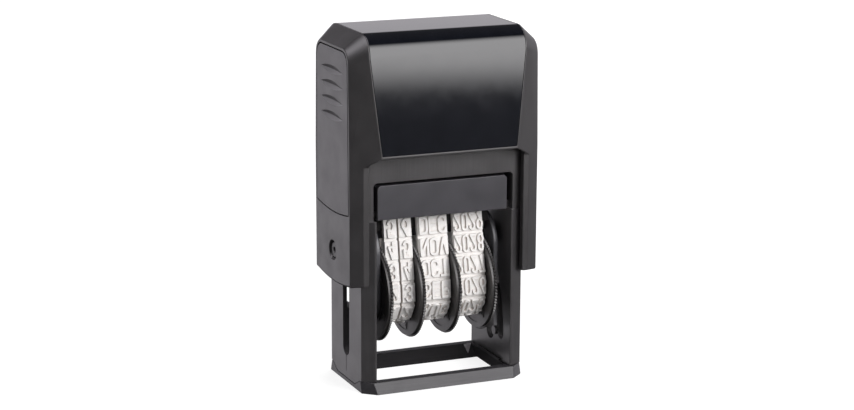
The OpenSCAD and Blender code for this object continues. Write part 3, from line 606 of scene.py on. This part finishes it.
# %% Round the edges
WIDEST, SEGMENTS = 0.6, 2
WELD_ROUNDED, WELD_PLAIN, FLAT_DEG = 0.03, 0.0008, 0.6
EDGE_BOXES = {
    "lower_frame": [((16.58, -9.9, 43.0), (0.25, 0.1, 4.8), 0.05),
                    ((15.7, -2.85, 8.8), (0.35, 1.2, 1.2), 0.0)],
    "handle_shell": [((22.0, -10.2, 52.6), (0.6, 0.6, 0.6), 0.0), ((22.0, 10.2, 52.6), (0.6, 0.6, 0.6), 0.0),
                     ((22.1, 0.0, 23.9), (0.05, 12.0, 0.9), 1.0), ((18.1, 0.0, 23.9), (0.05, 12.0, 0.9), 0.8),
                     ((17.1, -12.9, 63.5), (0.75, 0.7, 5.0), 0.08),
                     ((17.1, 12.9, 63.5), (0.75, 0.7, 5.0), 0.08),
                     ((18.2, 0.0, 77.0), (0.35, 13.0, 3.0), 0.08)],
    "rocker_frame": [((14.0, 0.0, 33.2), (0.8, 1.9, 1.9), 0.0)],
}


def soften(piece, radius, crisp_deg=None):
    """Rounds the steep edges with a radius in mm and shades smooth below crisp_deg; radius 0 only shades."""
    weld = piece.modifiers.new("weld", "WELD")
    weld.merge_threshold = (WELD_ROUNDED if radius else WELD_PLAIN) * MM
    if radius:
        clear = piece.modifiers.new("clear", "DECIMATE")
        clear.decimate_type = "DISSOLVE"
        clear.angle_limit = math.radians(FLAT_DEG)
        weights = piece.modifiers.new("weights", "NODES")
        boxes = EDGE_BOXES.get(piece.name, [])
        weights.node_group = build_weights("edges_" + piece.name, radius / WIDEST, boxes)
        rounded = piece.modifiers.new("rounded", "BEVEL")
        rounded.width = WIDEST * MM
        rounded.segments = SEGMENTS
        rounded.limit_method = "WEIGHT"
        rounded.use_clamp_overlap = False
        rounded.miter_outer = "MITER_ARC"
    shade = piece.modifiers.new("shade", "NODES")
    shade.node_group = soft_shading[crisp_deg or (CRISP_ROUNDED if radius else CRISP_PLAIN)]
    flats = piece.modifiers.new("flats", "WEIGHTED_NORMAL")
    flats.keep_sharp = True


def dress(name, finish, radius, crisp_deg=None):
    """Gives a solid its finish, on the object so that the mesh stays untouched, and rounds its edges."""
    piece = solids[name]
    for place in piece.material_slots:
        place.link = "OBJECT"
        place.material = finish
    soften(piece, radius, crisp_deg)


for name, finish, radius in (
    ("base_ring", base_black, 0.12), ("lower_frame", frame_black, 0.12),
    ("pad_cassette", cassette_black, 0.15), ("handle_shell", case_black, 0.16),
    ("top_cover", cover_polished, 0.10), ("print_bar", bar_black, 0.10), ("rocker_frame", rocker_black, 0.20),
    ("wheel_axle", axle_steel, 0.10), ("axle_spacer", pin_black, 0.05),
):
    dress(name, finish, radius)
for side in ("left", "right"):
    dress("pivot_pin_" + side, case_black, 0.10)
    dress("follower_pin_" + side, pin_black, 0.10)
    dress("grip_panel_" + side, grip_black, 0, CRISP_SCOOPS)
for column in ("day_tens", "day_units", "month", "year"):
    dress("wheel_" + column, wheel_black, 0)
print("dressed:", sum(1 for s in solids.values() if s.modifiers))

# %% [markdown]
# ## A new piece
# Pieces that the solids only stand in for are meshes of their own, written in millimetres and scaled once.
# Each one gets its finish, the body that it moves with, and its soft edges. Many of them are tubes: rings
# with the same number of points, joined one to the next.


# %% Piece helpers
def new_piece(name, points, faces, finish, body, radius=0):
    mesh = new_mesh(name, [Vector(p) * MM for p in points], faces, finish)
    work = bmesh.new()
    work.from_mesh(mesh)
    bmesh.ops.recalc_face_normals(work, faces=work.faces)
    work.to_mesh(mesh)
    work.free()
    piece = into_scene(name, mesh)
    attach(piece, body)
    soften(piece, radius)
    print(piece.name, len(points), "points")
    return piece


def tube_faces(rings, sides, closed=False):
    """Faces between rings of points. A closed tube runs back to its first ring, an open one has two ends."""
    faces = []
    for k in range(rings if closed else rings - 1):
        a, b = k * sides, (k + 1) % rings * sides
        faces += [(a + j, a + (j + 1) % sides, b + (j + 1) % sides, b + j) for j in range(sides)]
    if not closed:
        faces += [tuple(range(sides)), tuple(range((rings - 1) * sides, rings * sides))]
    return faces


print("piece helpers ready")

# %% [markdown]
# ## The path of a date band
# Each band is a flat belt that runs over a narrow bar at the print face and round a drum below. Seen from the
# side its path is two small corners, two straight runs and one large turn. The function gives the place at a
# distance s from the middle of the print face, on the belt's outer face or lifted off it; s below 0 runs down
# the front. The values repeat those of the solids.

# %% Belt path
BAR_Z, BAR_HALF, CORNER_R = 36.8, 2.7, 1.8
AXLE_Z, DRUM_R, STRIP_T, TYPE_TOP = 20.3, 7.2, 0.9, 0.7
reach = math.hypot(BAR_HALF, BAR_Z - AXLE_Z)
tilt = math.asin((DRUM_R - CORNER_R) / reach) - math.atan2(BAR_HALF, BAR_Z - AXLE_Z)
run = math.sqrt(reach ** 2 - (DRUM_R - CORNER_R) ** 2)
corner = CORNER_R * (math.pi / 2 - tilt)
half_loop = BAR_HALF + corner + run + DRUM_R * (math.pi / 2 + tilt)
BLOCKS, PHASE, BLOCK_GAP, NUDGE = 14, -2.4, 0.6, 0.01
pitch = 2 * half_loop / BLOCKS


def on_belt(s, lift=0.0):
    """(y, z) in mm, lift above the belt's outer face."""
    s = (s + half_loop) % (2 * half_loop) - half_loop
    d = abs(s)
    if d < BAR_HALF:
        y, z, a = d, BAR_Z + CORNER_R, math.pi / 2
    elif d < BAR_HALF + corner:
        a = math.pi / 2 - (d - BAR_HALF) / CORNER_R
        y, z = BAR_HALF + CORNER_R * math.cos(a), BAR_Z + CORNER_R * math.sin(a)
    elif d < BAR_HALF + corner + run:
        a, d = tilt, d - BAR_HALF - corner
        y = BAR_HALF + CORNER_R * math.cos(a) + d * math.sin(a)
        z = BAR_Z + CORNER_R * math.sin(a) - d * math.cos(a)
    else:
        a = tilt - (d - BAR_HALF - corner - run) / DRUM_R
        y, z = DRUM_R * math.cos(a), AXLE_Z + DRUM_R * math.sin(a)
    y, z = y + lift * math.cos(a), z + lift * math.sin(a)
    return (y if s >= 0 else -y), z


def block_middle(i):
    return i * pitch - half_loop + PHASE


def on_block(i, along, lift):
    """(y, z) in mm on block i, along from its middle. A block is stiff: it stays flat except at the bar."""
    m = block_middle(i)
    from_face = abs((m + half_loop) % (2 * half_loop) - half_loop)
    if from_face < BAR_HALF + corner + pitch / 2:
        return on_belt(m + along, lift)
    (y0, z0), (y1, z1) = on_belt(m - NUDGE), on_belt(m + NUDGE)
    ty, tz = (y1 - y0) / (2 * NUDGE), (z1 - z0) / (2 * NUDGE)
    return (y0 + y1) / 2 + ty * along - tz * lift, (z0 + z1) / 2 + tz * along + ty * lift


print("belt of", round(2 * half_loop, 1), "mm, a block every", round(pitch, 2), "mm")

# %% [markdown]
# ## Belts with type blocks
# Each belt is a strip with fourteen low blocks, one for each date, parted by grooves. A profile of points
# along the path is swept from one side of the belt to the other; extruding a curve would do it too, but the
# profile keeps the blocks' small chamfers. The blocks end below the printing height, because the characters
# stand on them.

# %% Build the belts
BLOCK_TOP, CHAMFER, STEPS, BELT_SIDES, BELT_ROUND = 0.25, 0.08, 8, 4, 0.05
belts = {
    "band_day_tens": (-12.1, -9.1), "band_day_units": (-8.65, -5.65),
    "band_month": (-4.2, 2.85), "band_year": (4.3, 11.35),
}


def belt_profile():
    """Pairs of outer and inner (y, z), once round the belt."""
    half = (pitch - BLOCK_GAP) / 2
    steps = [-half + CHAMFER + (2 * half - 2 * CHAMFER) * k / STEPS for k in range(STEPS + 1)]
    rows = []
    for i in range(BLOCKS):
        m = block_middle(i)
        rows += [(on_belt(m - half), m - half), (on_block(i, -half, BLOCK_TOP - CHAMFER), m - half)]
        rows += [(on_block(i, d, BLOCK_TOP), m + d) for d in steps]
        rows += [(on_block(i, half, BLOCK_TOP - CHAMFER), m + half), (on_belt(m + half), m + half)]
    return [(outer, on_belt(s, -STRIP_T)) for outer, s in rows]


rows = belt_profile()
for name, (left, right_side) in belts.items():
    points = []
    for outer, inner in rows:
        points += [(left, *outer), (right_side, *outer), (right_side, *inner), (left, *inner)]
    faces = tube_faces(len(rows), BELT_SIDES, closed=True)
    belt = new_piece(name + "_rubber", points, faces, band_white, "rocker", BELT_ROUND)
    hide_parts(name)

# %% [markdown]
# ## Characters as strokes
# The characters are plain narrow engineering letters of one stroke width. A font could be used, but its
# weight would change when it is narrowed, so each character is a few centre lines in a box of 1 by 1, and the
# stroke width is added afterwards. Round parts are arcs.

# %% Draw the alphabet
ARC_STEP = 18


def arc(cx, cy, rx, ry, start, end):
    count = max(2, round(abs(end - start) / ARC_STEP))
    turns = [math.radians(start + (end - start) * k / count) for k in range(count + 1)]
    return [(cx + rx * math.cos(t), cy + ry * math.sin(t)) for t in turns]


STADIUM = arc(0.5, 0.8, 0.5, 0.2, 180, 0) + arc(0.5, 0.2, 0.5, 0.2, 0, -180) + [(0, 0.8)]
BOWL = [(0, 0), (0, 1), (0.5, 1)] + arc(0.5, 0.75, 0.5, 0.25, 90, -90) + [(0, 0.5)]
CHARACTERS = {
    "0": [STADIUM],
    "1": [[(0.1, 0.78), (0.55, 1), (0.55, 0)]],
    "2": [arc(0.5, 0.77, 0.5, 0.23, 170, -28) + [(0, 0), (1, 0)]],
    "3": [arc(0.5, 0.77, 0.48, 0.23, 160, -90), arc(0.5, 0.27, 0.5, 0.27, 90, -160)],
    "4": [[(0.5, 1), (0, 0.26), (1, 0.26)], [(0.72, 0.5), (0.72, 0)]],
    "5": [[(0.92, 1), (0.1, 1), (0.06, 0.55)] + arc(0.5, 0.31, 0.5, 0.31, 130, -155)],
    "6": [[(0.78, 1), (0.07, 0.42)], arc(0.5, 0.29, 0.5, 0.29, 0, 360)],
    "7": [[(0, 1), (1, 1), (0.32, 0)]],
    "8": [arc(0.5, 0.77, 0.45, 0.23, 0, 360), arc(0.5, 0.27, 0.5, 0.27, 0, 360)],
    "9": [[(0.22, 0), (0.93, 0.58)], arc(0.5, 0.71, 0.5, 0.29, 0, 360)],
    "A": [[(0, 0), (0.5, 1), (1, 0)], [(0.17, 0.3), (0.83, 0.3)]],
    "B": [[(0, 0), (0, 1), (0.5, 1)] + arc(0.5, 0.77, 0.45, 0.23, 90, -90) + [(0, 0.54)],
          arc(0.5, 0.27, 0.5, 0.27, 90, -90) + [(0, 0)]],
    "C": [arc(0.5, 0.8, 0.5, 0.2, -10, 180) + arc(0.5, 0.2, 0.5, 0.2, 180, 370)],
    "D": [[(0, 0), (0, 1), (0.4, 1)] + arc(0.4, 0.78, 0.6, 0.22, 90, 0) + arc(0.4, 0.22, 0.6, 0.22, 0, -90)
          + [(0, 0)]],
    "E": [[(0.95, 1), (0, 1), (0, 0), (0.95, 0)], [(0, 0.52), (0.8, 0.52)]],
    "F": [[(0.95, 1), (0, 1), (0, 0)], [(0, 0.52), (0.8, 0.52)]],
    "G": [arc(0.5, 0.8, 0.5, 0.2, 0, 180) + arc(0.5, 0.2, 0.5, 0.2, 180, 360) + [(1, 0.46), (0.58, 0.46)]],
    "J": [[(0.85, 1), (0.85, 0.2)] + arc(0.4, 0.2, 0.45, 0.2, 0, -170)],
    "L": [[(0, 1), (0, 0), (0.95, 0)]],
    "M": [[(0, 0), (0, 1), (0.5, 0.42), (1, 1), (1, 0)]],
    "N": [[(0, 0), (0, 1), (1, 0), (1, 1)]],
    "O": [STADIUM],
    "P": [BOWL],
    "R": [BOWL, [(0.5, 0.5), (1, 0)]],
    "S": [arc(0.5, 0.77, 0.5, 0.23, 20, 270) + arc(0.5, 0.27, 0.5, 0.27, 90, -160)],
    "T": [[(0, 1), (1, 1)], [(0.5, 1), (0.5, 0)]],
    "U": [[(0, 1), (0, 0.2)] + arc(0.5, 0.2, 0.5, 0.2, 180, 360) + [(1, 1)]],
    "V": [[(0, 1), (0.5, 0), (1, 1)]],
    "Y": [[(0, 1), (0.5, 0.45), (1, 1)], [(0.5, 0.45), (0.5, 0)]],
}
print(len(CHARACTERS), "characters")

# %% [markdown]
# ## From strokes to flat shapes
# Each centre line becomes a chain of four-sided faces, with a small disc at every sharp corner. These
# overlap, so a constrained Delaunay triangulation cuts them against each other and says which triangles lie
# in a stroke. Level cuts are added as well, so that the shape can bend with the belt later.

# %% Strokes to triangles
SHARP_TURN, END_SHARE, DISC_SIDES, TINY = 0.7, 0.9, 10, 1e-6
CUT_MARGIN, MERGE = 1, 1e-5


def stroke_faces(line, half):
    """Faces, each a list of points, of one centre line with flat ends."""
    line = [Vector(p) for p in line]
    pts = [p for k, p in enumerate(line) if k == 0 or (p - line[k - 1]).length > TINY]
    closed = (pts[0] - pts[-1]).length < TINY
    if closed:
        pts = pts[:-1]
    count = len(pts)
    pairs = [(k, (k + 1) % count) for k in range(count if closed else count - 1)]
    heading = {a: (pts[b] - pts[a]).normalized() for a, b in pairs}
    side = {a: Vector((-h.y, h.x)) for a, h in heading.items()}
    faces = []

    def edge_at(k, own):
        before, after = side.get((k - 1) % count), side.get(k)
        if before is None or after is None or before.dot(after) < SHARP_TURN:
            return side[own] * half
        mean = (before + after).normalized()
        return mean * (half / mean.dot(after))

    for a, b in pairs:
        start, end = pts[a].copy(), pts[b].copy()
        if not closed and a == 0:
            start -= heading[a] * half * END_SHARE
        if not closed and b == count - 1:
            end += heading[a] * half * END_SHARE
        first, last = edge_at(a, a), edge_at(b, a)
        faces.append([start - first, end - last, end + last, start + first])
    turns = [math.tau * j / DISC_SIDES for j in range(DISC_SIDES)]
    disc = [Vector((math.cos(t), math.sin(t))) * half for t in turns]
    for k in side:
        before = side.get((k - 1) % count)
        if before is not None and before.dot(side[k]) < SHARP_TURN:
            faces.append([pts[k] + spoke for spoke in disc])
    return faces


def flat_shape(lines, width, height, half, cut):
    """Points, triangles and rim (edges with the shape on their left) of strokes in a box of given size."""
    coords, polygons, cuts = [], [], []
    for line in lines:
        for face in stroke_faces([(x * width, y * height) for x, y in line], half):
            polygons.append(list(range(len(coords), len(coords) + len(face))))
            coords += face
    level = -half
    while level < height + half:
        cuts.append((len(coords), len(coords) + 1))
        coords += [Vector((-CUT_MARGIN, level)), Vector((width + CUT_MARGIN, level))]
        level += cut
    points, _, triangles, _, _, inside = delaunay_2d_cdt(coords, cuts, polygons, 0, MERGE)
    kept = [t for t, owners in zip(triangles, inside) if owners]
    used = {}
    for t in kept:
        for v in t:
            used.setdefault(v, len(used))
    kept = [[used[v] for v in t] for t in kept]
    sides = {(t[k], t[(k + 1) % 3]) for t in kept for k in range(3)}
    rim = [e for e in sides if (e[1], e[0]) not in sides]
    return [points[v] for v in used], kept, sorted(rim)


def solid_faces(start, count, triangles, rim):
    """Faces of a flat shape that was laid down twice: front, back and the walls between their rims."""
    faces = [[start + v for v in t] for t in triangles]
    faces += [[start + count + v for v in reversed(t)] for t in triangles]
    return faces + [[start + b, start + a, start + count + a, start + count + b] for a, b in rim]


print("an eight has", sum(len(line) for line in CHARACTERS["8"]), "points on its centre lines")

# %% [markdown]
# ## Raised type
# Type for printing is mirrored, and on the front run these characters are upside down as well, so they read
# from left to right but hang head down. A character's height runs against the belt's distance s. Its face
# lies at printing height and its flanks widen towards the block, as moulded type does so that it leaves the
# mould. Months and years fill their belts, and the two narrow belts carry single digits.

# %% Set the type
TYPE_FOOT, FLANK, TYPE_HEIGHT, BEND_CUT = 0.18, 0.10, 3.9, 0.55
MONTHS = ["JAN", "FEB", "MAR", "APR", "MAY", "JUN", "JUL", "AUG", "SEP", "OCT", "NOV", "DEC", "", ""]
FIRST_MONTH, FIRST_YEAR = 5, 2023
LAYOUT = {"band_month": (2.24, 1.55, 0.26), "band_year": (1.77, 1.12, 0.22)}
DIGIT_LAYOUT = (2.4, 1.35, 0.25)


def words_on(name):
    """The word on each block of a belt, blank where it carries none."""
    if name == "band_month":
        return [MONTHS[(i + FIRST_MONTH) % BLOCKS] for i in range(BLOCKS)]
    if name == "band_year":
        return [str(FIRST_YEAR + i) for i in range(BLOCKS)]
    first = 0 if name == "band_day_units" else 1
    return [str(i - first) if 0 <= i - first <= 9 else "" for i in range(BLOCKS)]


def raise_character(points, faces, shape, left, low, block):
    """Adds a solid character: its shape laid on a block, low and left corner from the block's middle."""
    flat, triangles, rim = shape
    outward = [Vector((0, 0)) for _ in flat]
    for a, b in rim:
        d = (flat[b] - flat[a]).normalized()
        for v in (a, b):
            outward[v] += Vector((d.y, -d.x))
    faces += solid_faces(len(points), len(flat), triangles, rim)
    for spread, lift in ((0.0, TYPE_TOP), (FLANK, TYPE_FOOT)):
        for p, o in zip(flat, outward):
            q = p + (o.normalized() * spread if o.length > TINY else o)
            points.append((left + q.x, *on_block(block, -(low + q.y), lift)))


for name, (left, right_side) in belts.items():
    advance, width, stroke = LAYOUT.get(name, DIGIT_LAYOUT)
    height = TYPE_HEIGHT - 2 * stroke
    shapes, points, faces = {}, [], []
    for i, word in enumerate(words_on(name)):
        x = (left + right_side - advance * (len(word) - 1)) / 2
        for letter in word:
            if letter not in shapes:
                shapes[letter] = flat_shape(CHARACTERS[letter], width, height, stroke, BEND_CUT)
            raise_character(points, faces, shapes[letter], x - width / 2, -height / 2, i)
            x += advance
    new_piece(name + "_type", points, faces, band_white, "rocker")

# %% [markdown]
# ## Return spring
# The spring is a plain coil of steel wire between the deck of the frame and the roof of the head, hidden at
# rest. Its end turns lie flat, so the pitch eases in and out.

# %% Wind the spring
SPRING_LOW, SPRING_HIGH, COIL_R, WIRE_R, TURNS, FLAT_TURNS = 48.75, 76.95, 5.5, 0.45, 6, 0.75
RINGS_PER_TURN, WIRE_SIDES = 28, 10


def coil_points():
    rings = TURNS * RINGS_PER_TURN
    flat_end = FLAT_TURNS / TURNS
    points = []
    for i in range(rings + 1):
        t = i / rings
        if t < flat_end:
            grow = t * t / (2 * flat_end)
        elif t > 1 - flat_end:
            grow = 1 - flat_end - (1 - t) ** 2 / (2 * flat_end)
        else:
            grow = t - flat_end / 2
        z = SPRING_LOW + WIRE_R + (SPRING_HIGH - SPRING_LOW - 2 * WIRE_R) * grow / (1 - flat_end)
        a = math.tau * TURNS * t
        for k in range(WIRE_SIDES):
            b = math.tau * k / WIRE_SIDES
            r = COIL_R + WIRE_R * math.cos(b)
            points.append((r * math.cos(a), r * math.sin(a), z + WIRE_R * math.sin(b)))
    return points


points = coil_points()
faces = tube_faces(len(points) // WIRE_SIDES, WIRE_SIDES)
spring = new_piece("return_spring_coil", points, faces, spring_steel, "frame")
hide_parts("return_spring")
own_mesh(spring)

# %% [markdown]
# ## Ink pad
# The felt pad lies face down in the cassette. It is a soft slab: its edges are rounded and pull in a little
# between the corners, and its face bulges and is slightly uneven. A grid bent in code does this; a cloth
# simulation would be more than a pad of four millimetres needs.

# %% Felt the pad
PAD_X, PAD_Y, PAD_LOW, PAD_HIGH = 13.2, 5.7, 39.62, 43.5
PAD_COLUMNS, PAD_ROWS = 44, 20
PULL_X, PULL_Y, PULL_POWER = 0.12, 0.10, 6
ROUND_DEPTH, ROUND_WIDTH, BACK_SHARE, CROWN, LINT = 0.7, 0.8, 0.3, 0.10, 0.04


def pad_point(u, v, face):
    """u and v from -1 to 1 over the pad; face is -1 for the inked side and 1 for the back."""
    x = u * PAD_X - math.copysign(PULL_X * (1 - v * v) * abs(u) ** PULL_POWER, u)
    y = v * PAD_Y - math.copysign(PULL_Y * (1 - u * u) * abs(v) ** PULL_POWER, v)
    edge = min(PAD_X - abs(u * PAD_X), PAD_Y - abs(v * PAD_Y))
    round_off = ROUND_DEPTH * (1 - min(1.0, edge / ROUND_WIDTH)) ** 2
    if face > 0:
        return x, y, PAD_HIGH - round_off * BACK_SHARE
    crown = CROWN * (1 - (1 - u * u) * (1 - v * v))
    return x, y, PAD_LOW + crown + round_off + LINT * random.random()


wide, layer = PAD_COLUMNS + 1, (PAD_COLUMNS + 1) * (PAD_ROWS + 1)
points = [pad_point(2 * i / PAD_COLUMNS - 1, 2 * j / PAD_ROWS - 1, face)
          for face in (-1, 1) for j in range(PAD_ROWS + 1) for i in range(wide)]
firsts = [base + j * wide + i for base in (0, layer) for j in range(PAD_ROWS) for i in range(PAD_COLUMNS)]
faces = [(a, a + 1, a + wide + 1, a + wide) for a in firsts]
border = (list(range(wide)) + [j * wide + PAD_COLUMNS for j in range(1, PAD_ROWS + 1)]
          + [PAD_ROWS * wide + i for i in range(PAD_COLUMNS - 1, -1, -1)]
          + [j * wide for j in range(PAD_ROWS - 1, 0, -1)])
faces += [(a, b, b + layer, a + layer) for a, b in zip(border, border[1:] + border[:1])]
pad = new_piece("ink_pad_felt", points, faces, felt_blue, "cassette")
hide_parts("ink_pad")

# %% [markdown]
# ## Small moulded marks
# A few marks are too small for the solids: a raised pointer on the inner slope of the foot that shows where
# the date will print, an arrow on the face of each wheel, and the fine parting line that the mould left below
# each guide slot. They rise between a twentieth and a quarter of a millimetre.

# %% Add the pointer
mark_grey = plastic("mark_grey", (0.42, 0.40, 0.43), 0.45, bump=0.06)
POINTER = [(13.2, 0.95), (15.1, 0.95), (13.45, 0.3)]
POINTER_SINK, POINTER_RISE, POINTER_ROUND = 0.05, 0.22, 0.05
slope_low, slope_high = Vector((0, 5.7, 0)), Vector((0, 9.0, 2.5))
slope_normal = Vector((0, -(slope_high.z - slope_low.z), slope_high.y - slope_low.y)).normalized()


def on_slope(x, t, lift):
    return slope_low.lerp(slope_high, t) + Vector((x, 0, 0)) + slope_normal * lift


points = [on_slope(x, t, lift) for lift in (-POINTER_SINK, POINTER_RISE) for x, t in POINTER]
faces = tube_faces(2, len(POINTER))
new_piece("base_pointer", points, faces, mark_grey, "frame", POINTER_ROUND)

# %% Add the arrows
ARROW = [[(0, 0), (0.5, 1), (1, 0)], [(0.2, 0.12), (0.8, 0.12)]]
ARROW_LENGTH, ARROW_WIDTH, ARROW_STROKE, NO_CUT = 1.3, 1.04, 0.12, 2.0
DISC_INSET, ARROW_SINK, ARROW_RISE = 0.15, 0.05, 0.14
flat, triangles, rim = flat_shape(ARROW, ARROW_WIDTH, ARROW_LENGTH, ARROW_STROKE, NO_CUT)
for body, disc_left, angle_deg, radius in (
    ("wheel_day_tens", -13.2, -150, 8.6), ("wheel_day_units", -5.55, -101, 8.6),
    ("wheel_month", 2.95, -131, 8.9), ("wheel_year", 11.45, -128, 8.6),
):
    a = math.radians(angle_deg)
    radial, around = Vector((math.cos(a), math.sin(a))), Vector((-math.sin(a), math.cos(a)))
    points = []
    for x in (disc_left + DISC_INSET - ARROW_RISE, disc_left + DISC_INSET + ARROW_SINK):
        for p in flat:
            q = radial * (radius - ARROW_LENGTH / 2 + p.y) + around * (p.x - ARROW_WIDTH / 2)
            points.append((x, q.x, AXLE_Z + q.y))
    faces = solid_faces(0, len(flat), triangles, rim)
    new_piece(body + "_arrow", points, faces, wheel_black, body)

# %% Add the mould lines
POST_X, SEAM_HALF, SEAM_SINK, SEAM_RISE, SEAM_TOP, SEAM_LOW = 19.05, 0.07, 0.05, 0.05, 6.1, 2.5
profile = [(POST_X - SEAM_SINK, -2 * SEAM_HALF), (POST_X + SEAM_RISE, -SEAM_HALF / 2),
           (POST_X + SEAM_RISE, SEAM_HALF / 2), (POST_X - SEAM_SINK, 2 * SEAM_HALF)]
faces = tube_faces(2, len(profile))
for side_name, sign in (("left", -1), ("right", 1)):
    points = [(sign * x, y, z) for z in (SEAM_LOW, SEAM_TOP) for x, y in profile]
    new_piece("post_seam_" + side_name, points, faces, frame_black, "frame")
